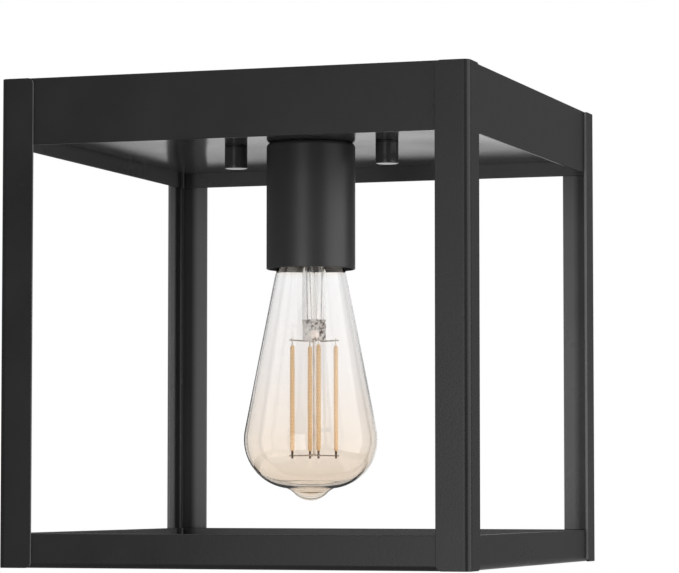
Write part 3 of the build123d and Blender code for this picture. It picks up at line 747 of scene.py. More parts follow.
class GrowthTree(NodeBench):
    """Geometry node tree with named sizes, which repeats a piece or adds to it."""

    def __init__(self, name: str, **sizes: float) -> None:
        """Make the tree, its inputs and its geometry output.

        Args:
            name: Tree name.
            sizes: First value of each size. A whole number makes a whole-number input.
        """
        super().__init__(bpy.data.node_groups.new(name, "GeometryNodeTree"))
        face = self.tree.interface
        face.new_socket("Geometry", in_out="INPUT", socket_type="NodeSocketGeometry")
        self.ids = {}
        for label, value in sizes.items():
            kind = "NodeSocketInt" if isinstance(value, int) else "NodeSocketFloat"
            socket = face.new_socket(label, in_out="INPUT", socket_type=kind)
            socket.default_value = value
            self.ids[label] = socket.identifier
        finish = face.new_socket("finish", in_out="INPUT", socket_type="NodeSocketMaterial")
        self.ids["finish"] = finish.identifier
        face.new_socket("Geometry", in_out="OUTPUT", socket_type="NodeSocketGeometry")
        self.given = self.add("NodeGroupInput").outputs

    def copy_to(self, points: bpy.types.Node, **sockets: Socket) -> None:
        """Stand the piece on points and end the tree."""
        inputs = {"Points": points.outputs["Mesh"], "Instance": self.given["Geometry"], **sockets}
        self.close(self.add("GeometryNodeInstanceOnPoints", inputs).outputs["Instances"])

    def close(self, geometry: Socket) -> None:
        """End the tree in real geometry with its finish.

        Args:
            geometry: Socket that holds the result.
        """
        real = self.add("GeometryNodeRealizeInstances", {"Geometry": geometry}).outputs["Geometry"]
        paint = self.add("GeometryNodeSetMaterial", {"Geometry": real, "Material": self.given["finish"]})
        self.add("NodeGroupOutput", {"Geometry": paint.outputs["Geometry"]})

    def run(self, piece: Piece, finish: str, **sizes: float) -> Piece:
        """Run the tree on a piece and keep the result as a plain mesh.

        Args:
            piece: Object that the tree works on.
            finish: Finish of the result.
            sizes: Values of the named inputs.

        Returns:
            The same object with a plain mesh.
        """
        modifier = piece.modifiers.new(self.tree.name, "NODES")
        modifier.node_group = self.tree
        for label, value in {**sizes, "finish": finishes.made[finish]}.items():
            modifier[self.ids[label]] = value
        shade(settle(piece).data)
        finishes.paint(piece, finish)
        return piece


def ring_tree() -> GrowthTree:
    """Tree that repeats a piece in equal turns round the lamp axis.

    Returns:
        The tree.
    """
    made = GrowthTree("ring_copies", count=4, start_turn=0.0)
    count = made.given["count"]
    line = made.add("GeometryNodeMeshLine", {"Count": count, "Offset": (0.0, 0.0, 0.0)})
    index = made.add("GeometryNodeInputIndex").outputs[0]
    turn = made.math("MULTIPLY", made.math("DIVIDE", index, count), 2.0 * math.pi)
    made.copy_to(line, Rotation=made.vector(z=made.math("ADD", turn, made.given["start_turn"])))
    return made


def row_tree() -> GrowthTree:
    """Tree that repeats a piece along X, centred on its own place.

    Returns:
        The tree.
    """
    made = GrowthTree("row_copies", count=3, pitch=7.0 * MM)
    count, pitch = made.given["count"], made.given["pitch"]
    reach = made.math("MULTIPLY", made.math("SUBTRACT", count, 1.0), pitch)
    first = made.vector(x=made.math("MULTIPLY", reach, -0.5))
    step = made.vector(x=pitch)
    made.copy_to(made.add("GeometryNodeMeshLine", {"Count": count, "Start Location": first, "Offset": step}))
    return made


def coil_tree() -> GrowthTree:
    """Tree that adds an upright right-hand coil of round wire to a piece.

    Returns:
        The tree.
    """
    made = GrowthTree("coil", turns=4.0, radius=2.0 * MM, rise=10.0 * MM, wire=0.2 * MM, low=0.0,
                      offset_x=0.0, steps=32, sides=8)
    size = made.given
    spiral = made.add("GeometryNodeCurveSpiral", {
        "Resolution": size["steps"], "Rotations": size["turns"], "Height": size["rise"],
        "Start Radius": size["radius"], "End Radius": size["radius"],
    })
    section = made.add("GeometryNodeCurvePrimitiveCircle", {
        "Resolution": size["sides"], "Radius": size["wire"],
    })
    tube = made.add("GeometryNodeCurveToMesh", {
        "Curve": spiral.outputs["Curve"], "Profile Curve": section.outputs["Curve"], "Fill Caps": True,
    })
    place = made.vector(x=size["offset_x"], z=size["low"])
    moved = made.add("GeometryNodeTransform", {"Geometry": tube.outputs["Mesh"], "Translation": place})
    both = made.add("GeometryNodeJoinGeometry", {"Geometry": size["Geometry"]})
    made.feed(both, {"Geometry": moved.outputs["Geometry"]})
    made.close(both.outputs["Geometry"])
    return made


@dataclass
class Cage:
    """Corner posts, skirts and bottom rails of coated sheet, with the glossy canopy plate."""

    edge: float = 0.22 * MM
    # Shares of painted light on the inward faces of the posts, and of the skirts and rails.
    post_painted_light: float = 1.0
    wall_painted_light: float = 0.42
    inward_turn: float = -0.8
    bow: float = 1.5 * MM
    pan_half: float = 97.0 * MM
    flat_half: Flat = (41.0 * MM, 20.0 * MM)
    cut_pitch: float = 6.0 * MM
    earth_hole: Flat = (26.0 * MM, 47.0 * MM)
    earth_hole_reach: float = 2.2 * MM
    upright_turn: float = 0.3
    corner_degrees: float = 45.0
    seam_half: float = 1.2 * MM
    seam_depth: float = 0.6 * MM
    seam_sides: int = 20
    seam_reach: float = 140.3 * MM
    flange_seam: Flat = (124.6 * MM, 141.7 * MM)
    flange_middle: float = -203.4 * MM
    skirt_seam: Flat = (-28.0 * MM, -0.2 * MM)
    rail_seam: Flat = (-202.9 * MM, -189.8 * MM)

    def build(self, ring: GrowthTree) -> None:
        """Copy the sheet pieces with eased edges, coat them and close their corners.

        Args:
            ring: Tree that repeats the seams round the four corners.
        """
        for corner in ("front_left", "front_right", "rear_right", "rear_left"):
            self.coat(f"post_{corner}", f"corner_post_{corner}", self.post_painted_light)
        for side in ("front", "right", "rear", "left"):
            self.coat(f"skirt_{side}", f"canopy_skirt_{side}", self.wall_painted_light)
            self.coat(f"rail_{side}", f"bottom_rail_{side}", self.wall_painted_light)
        self.pan()
        self.seams(ring)

    def coat(self, node: str, name: str, painted_light_share: float) -> None:
        """Ease and coat one sheet piece, with painted light on its inward faces.

        Args:
            node: CAD node.
            name: Piece name.
            painted_light_share: Share of painted light on its inward faces, from 0 to 1.
        """
        piece = eased_copy(node, name, self.edge)
        # Each inward face carries its share of painted light.
        marks = piece.data.attributes.new(INWARD, "FLOAT", "FACE")
        marks.data.foreach_set("value", [painted_light_share * self.looks_in(face) for face in piece.data.polygons])
        mount_piece(piece, Body.FIXTURE, "powder_coat", "black_coat", node)

    def looks_in(self, face: bpy.types.MeshPolygon) -> bool:
        """Whether a face looks into the cage."""
        turns = [face.normal[axis] * math.copysign(1.0, face.center[axis]) for axis in (0, 1)]
        return min(turns) < self.inward_turn

    def pan(self) -> None:
        """Dress the canopy plate. Its underside bows down a little towards the rim, as drawn sheet does."""
        work = clean_copy("canopy_plate")
        self.close_hole(work)
        cuts = int(self.pan_half / self.cut_pitch)
        for axis in (Vector((1.0, 0.0, 0.0)), Vector((0.0, 1.0, 0.0))):
            for count in range(-cuts, cuts + 1):
                everything = work.verts[:] + work.edges[:] + work.faces[:]
                place = axis * count * self.cut_pitch
                bmesh.ops.bisect_plane(work, geom=everything, plane_co=place, plane_no=axis)
        work.normal_update()
        for vertex in work.verts:
            facing = max(0.0, -vertex.normal.z)
            vertex.co.z -= self.bow * facing * self.sag(vertex.co.x, vertex.co.y)
        bmesh.ops.triangulate(work, faces=work.faces)
        mount_piece(piece_of(work, "canopy_pan"), Body.FIXTURE, "gloss_coat", "black_gloss", "canopy_plate")

    def sag(self, x: float, y: float) -> float:
        """Share of the bow at a place on the pan: 0 on its flat middle, 1 at its rim."""
        shares = [(abs(way) - flat) / (self.pan_half - flat) for way, flat in zip((x, y), self.flat_half)]
        return 1.0 - (1.0 - ease(shares[0])) * (1.0 - ease(shares[1]))

    def close_hole(self, work: Work) -> None:
        """Close the hole that the clinched earth screw fills.

        Args:
            work: Mesh of the pan.
        """
        middle = Vector(self.earth_hole)
        wall = [face for face in work.faces if abs(face.normal.z) < self.upright_turn
                and (face.calc_center_median().xy - middle).length < self.earth_hole_reach]
        bmesh.ops.delete(work, geom=wall, context="FACES")
        rims = [edge for edge in work.edges if edge.is_boundary]
        bmesh.ops.holes_fill(work, edges=rims, sides=0)
        bmesh.ops.recalc_face_normals(work, faces=work.faces)

    def seams(self, ring: GrowthTree) -> None:
        """Fill the mitres of skirts and rails with ground weld seams.

        Args:
            ring: Tree that repeats one corner's seams.
        """
        work = bmesh.new()
        flange = [(reach, self.flange_middle) for reach in self.flange_seam]
        self.seam(work, flange, (0.0, self.seam_depth))
        for heights in (self.skirt_seam, self.rail_seam):
            self.seam(work, [(self.seam_reach, height) for height in heights], (self.seam_depth, 0.0))
        seams = piece_of(work, "corner_seams")
        ring.run(seams, "powder_coat", count=4, start_turn=math.radians(self.corner_degrees))
        mount_piece(seams, Body.FIXTURE, "powder_coat", "black_coat")

    def seam(self, work: Work, middles: Profile, depth: Flat) -> None:
        """Add one straight seam with an oval section.

        Args:
            work: Mesh to add to.
            middles: Reach and height of the middle of each end.
            depth: Half of its thickness, along the reach and the height.
        """
        rings = []
        for reach, height in middles:
            rings.append([(reach + depth[0] * deep, self.seam_half * across, height + depth[1] * deep)
                          for across, deep in circle(self.seam_sides)])
        skin(work, rings, Ends.CAPPED)


@dataclass
class Cup:
    """Drawn cup round the lampholder."""

    radius: float = 19.45 * MM
    wall: float = 0.8 * MM
    top: float = -20.0 * MM
    mouth: float = -75.5 * MM
    shoulder: float = 2.2 * MM
    eye: float = 5.05 * MM
    segments: int = 144

    def build(self) -> None:
        """Turn the cup and coat it."""
        lip = self.wall / 2.0
        middle = (self.radius - self.shoulder, self.top - self.shoulder)
        profile = [(self.eye, self.top - self.wall)]
        profile += arc(middle, self.shoulder - self.wall, 90.0, 0.0, steps=8)
        profile += arc((self.radius - lip, self.mouth + lip), lip, 180.0, 360.0, steps=8)
        profile += arc(middle, self.shoulder, 0.0, 90.0, steps=12)
        profile += [(self.eye, self.top)]
        cup = lathe("lamp_cup", profile, self.segments, Ends.JOINED)
        mount_piece(cup, Body.FIXTURE, "satin_coat", "black_coat", "socket_cup")


@dataclass
class CapNuts:
    """Round cap nuts with their washers, on threaded studs."""

    stud_x: float = 35.0 * MM
    stud_radius: float = 2.1 * MM
    stud_low: float = -26.5 * MM
    stud_top: float = -0.2 * MM
    stud_nose: float = 0.5 * MM
    stud_segments: int = 40
    thread_pitch: float = 0.794 * MM
    thread_depth: float = 0.28 * MM
    thread_wire: float = 0.27 * MM
    radius: float = 5.0 * MM
    bore: float = 2.15 * MM
    top: float = -20.9 * MM
    low: float = -30.1 * MM
    bore_end: float = -27.6 * MM
    top_edge: float = 0.15 * MM
    low_edge: float = 0.5 * MM
    washer_radius: float = 5.0 * MM
    washer_top: float = -20.05 * MM
    washer_low: float = -20.85 * MM
    washer_edge: float = 0.12 * MM
    segments: int = 96

    def build(self, coil: GrowthTree) -> None:
        """Turn nuts, washers and studs for both sides.

        Args:
            coil: Tree that makes the studs' threads.
        """
        studs = []
        for side in Side:
            place = side.name.lower()
            x = side.value * self.stud_x
            nut = lathe(f"round_nut_{place}", self.nut_profile(), self.segments, Ends.OPEN, x)
            mount_piece(nut, Body(f"nut_{place}"), "gloss_coat", "black_coat", f"cap_nut_{place}")
            washer = lathe(f"thin_washer_{place}", self.washer_profile(), self.segments, Ends.JOINED, x)
            mount_piece(washer, Body(f"washer_{place}"), "powder_coat", "black_coat", f"nut_washer_{place}")
            studs.append(self.stud(coil, place, x))
        for stud in studs:
            mount_piece(stud, Body.FIXTURE, "zinc_plate", "zinc", "mounting_studs")

    def nut_profile(self) -> Profile:
        """Half section of a cap nut, from the end of its bore to the middle of its face.

        Returns:
            The section's points.
        """
        profile = [(0.0, self.bore_end), (self.bore, self.bore_end), (self.bore, self.top)]
        top_middle = (self.radius - self.top_edge, self.top - self.top_edge)
        low_middle = (self.radius - self.low_edge, self.low + self.low_edge)
        profile += arc(top_middle, self.top_edge, 90.0, 0.0, steps=4)
        profile += arc(low_middle, self.low_edge, 0.0, -90.0, steps=8)
        return profile + [(0.0, self.low)]

    def washer_profile(self) -> Profile:
        """Half section of a washer with rounded rims.

        Returns:
            The section's points.
        """
        edge = self.washer_edge
        profile = [(self.bore, self.washer_low), (self.bore, self.washer_top)]
        profile += arc((self.washer_radius - edge, self.washer_top - edge), edge, 90.0, 0.0, steps=4)
        return profile + arc((self.washer_radius - edge, self.washer_low + edge), edge, 0.0, -90.0, steps=4)

    def stud(self, coil: GrowthTree, place: str, x: float) -> Piece:
        """Turn one stud and wind its thread on.

        Args:
            coil: Tree that makes the thread.
            place: Left or right.
            x: Place of the stud.

        Returns:
            The threaded stud.
        """
        nose = self.stud_nose
        root = self.stud_radius - self.thread_depth
        profile = [(0.0, self.stud_low), (root - nose, self.stud_low), (root, self.stud_low + nose)]
        profile += [(root, self.stud_top - nose), (root - nose, self.stud_top), (0.0, self.stud_top)]
        stud = lathe(f"threaded_stud_{place}", profile, self.stud_segments, Ends.OPEN, x)
        rise = self.stud_top - self.stud_low - 2.0 * nose
        return coil.run(stud, "zinc_plate", turns=rise / self.thread_pitch, radius=root, rise=rise,
                        wire=self.thread_wire, low=self.stud_low + nose, offset_x=x, steps=28, sides=6)


@dataclass
class Mounting:
    """Crossbar and the plain fixings above the plate."""

    edge: float = 0.25 * MM
    nipple_radius: float = 5.0 * MM
    nipple_bore: float = 3.5 * MM
    nipple_top: float = -11.8 * MM
    nipple_low: float = -25.0 * MM
    nipple_pitch: float = 0.941 * MM
    nipple_thread: float = 0.35 * MM
    nipple_wire: float = 0.33 * MM
    nipple_segments: int = 64

    def build(self, coil: GrowthTree) -> None:
        """Dress the crossbar, nuts, screws and nipple.

        Args:
            coil: Tree that makes the nipple's thread.
        """
        mount_copies((node, name, self.edge, Body.FIXTURE, finish, slot) for node, name, finish, slot in (
            ("crossbar", "ceiling_crossbar", "zinc_plate", "zinc"),
            ("stud_lock_nuts", "hex_lock_nuts", "zinc_plate", "zinc"),
            ("ground_screw", "ground_hex_screw", "ground_coat", "ground_green"),
            ("nipple_washer", "wide_washer", "zinc_plate", "zinc"),
            ("nipple_nut", "nipple_hex_nut", "zinc_plate", "zinc"),
            ("earth_screw", "earth_pan_screw", "zinc_plate", "zinc"),
        ))
        self.nipple(coil)

    def nipple(self, coil: GrowthTree) -> None:
        """Turn the nipple and wind its thread on.

        Args:
            coil: Tree that makes the thread.
        """
        root = self.nipple_radius - self.nipple_thread
        low, top = self.nipple_low, self.nipple_top
        profile = [(self.nipple_bore, low), (root, low), (root, top - self.edge), (root - self.edge, top),
                   (self.nipple_bore, top)]
        nipple = lathe("threaded_nipple", profile, self.nipple_segments, Ends.JOINED)
        rise = top - low - 4.0 * self.edge
        coil.run(nipple, "zinc_plate", turns=rise / self.nipple_pitch, radius=root, rise=rise,
                 wire=self.nipple_wire, low=low + 2.0 * self.edge, steps=40, sides=6)
        mount_piece(nipple, Body.FIXTURE, "zinc_plate", "zinc", "nipple")


@dataclass
class Lampholder:
    """Metal cap, moulded body, screw shell and sprung contact."""

    spring_low: float = -38.8 * MM
    spring_top: float = -36.3 * MM
    spring_radius: float = 3.6 * MM
    spring_wire: float = 0.24 * MM
    spring_turns: float = 3.5
    spring_kept: float = 0.52

    def build(self, coil: GrowthTree) -> None:
        """Dress the lampholder and wind its spring.

        Args:
            coil: Tree that makes the spring.
        """
        mount_copies([
            ("holder_cap", "drawn_cap", 0.2 * MM, Body.FIXTURE, "drawn_aluminium", "cap_metal"),
            ("holder_body", "moulded_body", 0.3 * MM, Body.FIXTURE, "brown_phenolic", "phenolic"),
            ("screw_shell", "rolled_shell", 0.0, Body.FIXTURE, "plain_brass", "brass"),
            ("contact_plunger", "contact_pin", 0.2 * MM, Body.CONTACT, "plain_brass", "brass"),
        ])
        empty = new_piece("contact_coil", bpy.data.meshes.new("contact_coil"))
        wire = self.spring_wire
        rise = self.spring_top - self.spring_low - 2.0 * wire
        spring = coil.run(empty, "spring_steel", turns=self.spring_turns, radius=self.spring_radius,
                          rise=rise, wire=wire, low=self.spring_low + wire, steps=48, sides=10)
        mount_piece(spring, Body.FIXTURE, "spring_steel", "spring_steel", "contact_spring")
        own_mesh(spring)


@dataclass
class Wiring:
    """Terminal block with its screws, and the leads inside the canopy, with their routes in millimetres."""

    block_y: float = 47.0 * MM
    block_top: float = -7.8 * MM
    block_edge: float = 0.3 * MM
    well_depth: float = 3.0 * MM
    screw_radius: float = 1.75 * MM
    screw_height: float = 1.6 * MM
    screw_sides: int = 32
    slot_width: float = 0.5 * MM
    slot_depth: float = 0.6 * MM
    ways: int = 3
    pitch: float = 7.0 * MM
    lead_radius: float = 1.2 * MM
    holder_route: tuple[Point, ...] = (
        (6.8, 0.0, -34.8), (6.8, 0.0, -31.15), (1.7, 0.0, -25.0), (1.7, 0.0, -7.3), (7.0, 20.0, -7.3),
        (7.0, 32.8, -13.8), (7.0, 45.8, -13.8),
    )
    earth_route: tuple[Point, ...] = (
        (9.2, 47.0, -13.8), (14.4, 47.0, -13.8), (21.5, 43.85, -17.6), (30.0, 43.85, -17.6),
    )

    def build(self, row: GrowthTree) -> None:
        """Dress the block, set its screws and lay the leads.

        Args:
            row: Tree that repeats the screws along the block.
        """
        block = eased_copy("terminal_block", "wire_block", self.block_edge)
        mount_piece(block, Body.FIXTURE, "pale_block", "block_plastic", "terminal_block")
        screws = row.run(self.screw(), "zinc_plate", count=self.ways, pitch=self.pitch)
        mount_piece(screws, Body.FIXTURE, "zinc_plate", "zinc")
        leads = [
            ("lead_live", "holder_lead_live", self.holder_route, Side.LEFT, "black"),
            ("lead_neutral", "holder_lead_neutral", self.holder_route, Side.RIGHT, "white"),
            ("lead_earth", "plate_lead_earth", self.earth_route, Side.RIGHT, "green"),
        ]
        for node, name, route, side, color in leads:
            points = [(side.value * x * MM, y * MM, z * MM) for x, y, z in route]
            lead = tube_along(name, points, self.lead_radius)
            mount_piece(lead, Body.FIXTURE, f"{color}_insulation", f"lead_{color}", node)

    def screw(self) -> Piece:
        """Make one slotted screw head, standing in the block's middle well.

        Returns:
            The screw head.
        """
        work = bmesh.new()
        middle = (0.0, self.block_y)
        lean = math.degrees(math.asin(self.slot_width / 2.0 / self.screw_radius))
        for turn in (0.0, 180.0):
            half = arc(middle, self.screw_radius, turn + lean, turn + 180.0 - lean, steps=12)
            self.prism(work, half, self.screw_height)
        seat = arc(middle, self.screw_radius, 0.0, 360.0, self.screw_sides)[:-1]
        self.prism(work, seat, self.screw_height - self.slot_depth)
        return piece_of(work, "block_screws")

    def prism(self, work: Work, outline: Profile, height: float) -> None:
        """Add an upright prism that stands in the well."""
        low = self.block_top - self.well_depth
        skin(work, [[(x, y, z) for x, y in outline] for z in (low, low + height)], Ends.CAPPED)


@dataclass(frozen=True)
class BentWire:
    """One wire inside the bulb, with its copies round the axis."""

    name: str
    route: Sequence[Point]
    radius: float
    smooth: bool = True
    copies: int = 4
    first_degrees: float = 0.0
    finish: str = "bare_wire"
    nodes: tuple[str, ...] = ()


@dataclass
class Bulb:
    """Screw-in filament bulb: blown glass, stem, wires, filaments and base."""

    tip: float = -176.3 * MM
    rim: float = -66.8 * MM
    neck: float = 11.2 * MM
    neck_top: float = -61.8 * MM
    shoulder: float = -71.6 * MM
    shoulder_share: float = 0.12
    shoulder_steps: int = 10
    glass: float = 0.9 * MM
    belly: float = 21.5 * MM
    belly_radius: float = 7.7 * MM
    belly_height: float = -149.8 * MM
    slope_degrees: float = 11.0
    tip_round: float = 10.0 * MM
    tip_blend: float = 6.0 * MM
    settled_from: float = -160.0 * MM
    settled: float = 0.8 * MM
    stem: float = 5.2 * MM
    stem_wall: float = 0.9 * MM
    stem_flare: float = 10.2 * MM
    stem_segments: int = 72
    stem_shift: Flat = (1.42 * MM, 0.48 * MM)
    flare_low: float = -72.8 * MM
    flare_steps: int = 8
    exhaust: float = 1.3 * MM
    exhaust_wall: float = 0.35 * MM
    exhaust_sunk: float = 1.5 * MM
    exhaust_segments: int = 40
    press_top: float = -97.7 * MM
    press_low: float = -106.5 * MM
    press_half_depth: float = 1.5 * MM
    press_pinch: float = 2.2
    press_rows: int = 18
    press_sides: int = 48
    press_cells: float = 420.0
    press_rough: float = 0.28 * MM
    press_seed: int = 11
    bead: float = 2.4 * MM
    bead_segments: int = 32
    wire: float = 0.3 * MM
    tail: float = 0.5 * MM
    post: float = 0.55 * MM
    past_filament: float = 1.3 * MM
    into_filament: float = 0.4 * MM
    filament_circle: float = 9.7 * MM
    filament: float = 1.0 * MM
    filament_end: float = 0.6 * MM
    filament_taper: float = 1.1 * MM
    filament_top: float = -108.85 * MM
    filament_low: float = -154.85 * MM
    filament_degrees: float = 30.0
    filament_segments: int = 20
    top_wires: float = -106.85 * MM
    low_wires: float = -156.85 * MM
    segments: int = 160

    def build(self, ring: GrowthTree) -> None:
        """Make every piece of the bulb.

        Args:
            ring: Tree that repeats filaments and wires round the axis.
        """
        envelope = lathe("glass_envelope", self.envelope_profile(), self.segments, Ends.OPEN,
                         sharp_degrees=GLASS_DEGREES)
        mount_piece(envelope, Body.BULB, "amber_glass", "amber_glass", "bulb_glass")
        self.stem_tube()
        self.press()
        self.filaments(ring)
        self.wires(ring)
        mount_copies([
            ("bulb_base", "rolled_base_shell", 0.0, Body.BULB, "rolled_base", "base_metal"),
            ("bulb_insulator", "base_insulator", 0.25 * MM, Body.BULB, "black_vitrite", "insulator_black"),
            ("bulb_driver", "driver_board", 0.1 * MM, Body.BULB, "green_board", "board_green"),
            ("bulb_contact", "solder_button", 0.2 * MM, Body.BULB_CARRIER, "dull_solder", "solder"),
        ])

    def seat_inside(self, piece: Piece, finish: str, slot: str, *nodes: str) -> None:
        """Set a piece inside the glass off the axis, as a stem sealed by hand stands, and mount it.

        Args:
            piece: Finished mesh piece, made on the axis.
            finish: Finish name.
            slot: Material slot of the record.
            nodes: CAD nodes that the piece replaces.
        """
        shift = Vector((*self.stem_shift, 0.0))
        for vertex in piece.data.vertices:
            vertex.co += shift * ease((self.rim - vertex.co.z) / (self.rim - self.flare_low))
        mount_piece(piece, Body.BULB, finish, slot, *nodes)

    def side(self, inset: float) -> Profile:
        """Half outline of the glass from the neck to the drawn tip.

        Args:
            inset: Distance inside the outer face.

        Returns:
            The outline's points, ending on the axis.
        """
        reach_belly = self.belly + self.tip_blend
        reach_tip = self.tip_round + self.tip_blend
        start = Vector((self.belly_radius, self.belly_height))
        end = Vector((0.0, self.tip + self.tip_round))
        gap = (end - start).length
        toward = (end - start) / gap
        foot = (reach_belly**2 - reach_tip**2 + gap**2) / (2.0 * gap)
        rise = math.sqrt(reach_belly**2 - foot**2)
        blend = start + toward * foot + Vector((-toward.y, toward.x)) * rise
        belly_end = math.degrees(math.atan2(blend.y - start.y, blend.x - start.x))
        tip_start = math.degrees(math.atan2(blend.y - end.y, blend.x))
        round_side = arc(tuple(start), self.belly - inset, self.slope_degrees, belly_end, steps=40)
        lean = math.tan(math.radians(self.slope_degrees))
        neck = self.neck - inset
        shoulder = (round_side[0][0] - (self.shoulder - round_side[0][1]) * lean, self.shoulder)
        profile = [(neck, self.neck_top), (neck, self.rim - inset)]
        profile += self.soft_corner(profile[-1], shoulder, round_side[0])
        profile += round_side
        hollow = (belly_end + 180.0, tip_start + 180.0)
        profile += arc(tuple(blend), self.tip_blend + inset, *hollow, steps=8)[1:]
        profile += arc(tuple(end), self.tip_round - inset, tip_start, -90.0, steps=12)[1:-1]
        return profile + [(0.0, self.tip + inset)]

    def soft_corner(self, before: Flat, corner: Flat, after: Flat) -> Profile:
        """Round the shoulder under the neck.

        Args:
            before: Point above the corner.
            corner: The corner itself.
            after: Point below the corner.

        Returns:
            Points of the rounded corner.
        """
        top, middle = Vector(before), Vector(corner)
        low = middle.lerp(Vector(after), self.shoulder_share)
        shares = [step / self.shoulder_steps for step in range(1, self.shoulder_steps + 1)]
        return [tuple(top.lerp(middle, share).lerp(middle.lerp(low, share), share)) for share in shares]

    def envelope_profile(self) -> Profile:
        """Section of the blown glass, thicker at the bottom: up the inner side, then down the outer side.

        Returns:
            The section's points.
        """
        inner = []
        for radius, height in self.side(self.glass):
            depth = max(0.0, self.settled_from - height) / (self.settled_from - self.tip)
            inner.append((radius, height + self.settled * depth * depth))
        return inner[::-1] + self.side(0.0)

    def stem_tube(self) -> None:
        """Turn the stem's flare and tube, and the exhaust tube in it."""
        outer = []
        for step in range(self.flare_steps + 1):
            share = step / self.flare_steps
            radius = between(self.stem_flare, self.stem, ease(share))
            outer.append((radius, between(self.rim, self.flare_low, share)))
        outer.append((self.stem, self.press_top))
        inner = [(radius - self.stem_wall, height) for radius, height in outer[::-1]]
        profile = outer + inner
        tube = lathe("stem_tube", profile, self.stem_segments, Ends.JOINED, sharp_degrees=GLASS_DEGREES)
        self.seat_inside(tube, "stem_glass", "stem_glass", "bulb_stem")
        bore = self.exhaust - self.exhaust_wall
        low = self.press_top - self.exhaust_sunk
        profile = [(self.exhaust, self.rim), (self.exhaust, low), (bore, low), (bore, self.rim)]
        exhaust = lathe("exhaust_tube", profile, self.exhaust_segments, Ends.JOINED)
        self.seat_inside(exhaust, "stem_glass", "stem_glass")

    def press(self) -> None:
        """Loft the pinched press with an uneven face, and turn the bead on it."""
        seed_set(self.press_seed)
        rings = []
        for row in range(self.press_rows + 1):
            share = row / self.press_rows
            pinch = ease(share * self.press_pinch)
            depth = between(self.stem, self.press_half_depth, pinch)
            height = between(self.press_top, self.press_low, share)
            ring = []
            for across, deep in circle(self.press_sides):
                place = Vector((self.stem * across, depth * deep, height))
                rough = noise_vector(place * self.press_cells) * (self.press_rough * pinch)
                ring.append(place + Vector((rough.x, rough.y, 0.0)))
            rings.append(ring)
        work = bmesh.new()
        skin(work, rings, Ends.CAPPED)
        turned = Matrix.Rotation(math.radians(self.filament_degrees), 4, "Z")
        bmesh.ops.transform(work, matrix=turned, verts=work.verts)
        self.seat_inside(piece_of(work, "stem_press", GLASS_DEGREES), "pressed_glass", "stem_glass")
        profile = arc((0.0, self.press_low + self.bead), self.bead, -90.0, 90.0, steps=16)
        bead = lathe("press_bead", profile, self.bead_segments, Ends.OPEN, sharp_degrees=GLASS_DEGREES)
        self.seat_inside(bead, "pearl_bead", "stem_glass")

    def filaments(self, ring: GrowthTree) -> None:
        """Turn one filament with tapered ends and repeat it round the axis.

        Args:
            ring: Tree that repeats it.
        """
        low, top = self.filament_low, self.filament_top
        profile = [(0.0, low), (self.filament_end, low), (self.filament, low + self.filament_taper),
                   (self.filament, top - self.filament_taper), (self.filament_end, top), (0.0, top)]
        rod = lathe("amber_filaments", profile, self.filament_segments, Ends.OPEN, self.filament_circle)
        ring.run(rod, "amber_phosphor", count=4, start_turn=math.radians(self.filament_degrees))
        self.seat_inside(rod, "amber_phosphor", "filament", "bulb_filaments")

    def wires(self, ring: GrowthTree) -> None:
        """Bend the wires that hold the filaments, the centre post and the leads in the stem.

        Args:
            ring: Tree that repeats the bent wires.
        """
        for wire in self.bent_wires():
            piece = tube_along(wire.name, wire.route, wire.radius, wire.smooth)
            if wire.copies > 1:
                ring.run(piece, wire.finish, count=wire.copies, start_turn=math.radians(wire.first_degrees))
            self.seat_inside(piece, wire.finish, "wire", *wire.nodes)

    def bent_wires(self) -> list[BentWire]:
        """List the wires with their routes.

        Returns:
            The wires, each at its first place.
        """
        reach, past, into = self.filament_circle, self.past_filament, self.into_filament
        top, low = self.top_wires, self.low_wires
        upper = [(1.6 * MM, 0.0, self.press_low + 1.5 * MM), (2.6 * MM, 0.0, top - 0.2 * MM),
                 (4.2 * MM, 0.0, top - 0.1 * MM), (reach + past, 0.0, top + 0.3 * MM)]
        lower = [(0.0, 0.0, low + 0.5 * MM), (1.0 * MM, 0.3 * MM, low + 0.3 * MM),
                 (2.6 * MM, 0.0, low), (reach + past, 0.0, low - 0.1 * MM)]
        hooks = [(reach, 0.0, top + past), (reach, 0.0, self.filament_top - into)]
        tails = [(reach, 0.0, low - past), (reach, 0.0, self.filament_low + into)]
        post = [(0.0, 0.0, self.press_low + 0.8 * MM), (0.0, 0.0, low - 0.3 * MM)]
        leads = [(2.0 * MM, 0.0, -59.8 * MM), (3.6 * MM, 0.4 * MM, -72.0 * MM),
                 (3.4 * MM, 0.2 * MM, -86.0 * MM), (3.1 * MM, 0.0, self.press_top - 3.0 * MM)]
        turn = self.filament_degrees
        return [
            BentWire("upper_wires", upper, self.wire, first_degrees=turn, nodes=("bulb_top_wires",)),
            BentWire("upper_hooks", hooks, self.wire, smooth=False, first_degrees=turn),
            BentWire("lower_wires", lower, self.wire, first_degrees=turn),
            BentWire("lower_tails", tails, self.tail, smooth=False, first_degrees=turn, finish="burnt_wire"),
            BentWire("centre_post", post, self.post, smooth=False, copies=1, nodes=("bulb_post",)),
            BentWire("stem_leads", leads, self.wire, copies=2, finish="spring_steel",
                     nodes=("bulb_lead_wires",)),
        ]


@dataclass(frozen=True)
class SoftBox:
    """One soft light, aimed at the middle of the cage."""

    name: str
    place: Point
    size: Flat
    power: float
    target: Point = (0.0, 0.0, -0.1)

    def hang(self) -> None:
        """Add the light to the scene, unseen by the camera."""
        data = bpy.data.lights.new(self.name, "AREA")
        data.shape = "RECTANGLE"
        data.size, data.size_y = self.size
        data.energy = self.power
        light = bpy.data.objects.new(self.name, data)
        bpy.context.scene.collection.objects.link(light)
        light.location = self.place
        light.visible_camera = False
        light.rotation_euler = (Vector(self.target) - light.location).to_track_quat("-Z", "Y").to_euler()


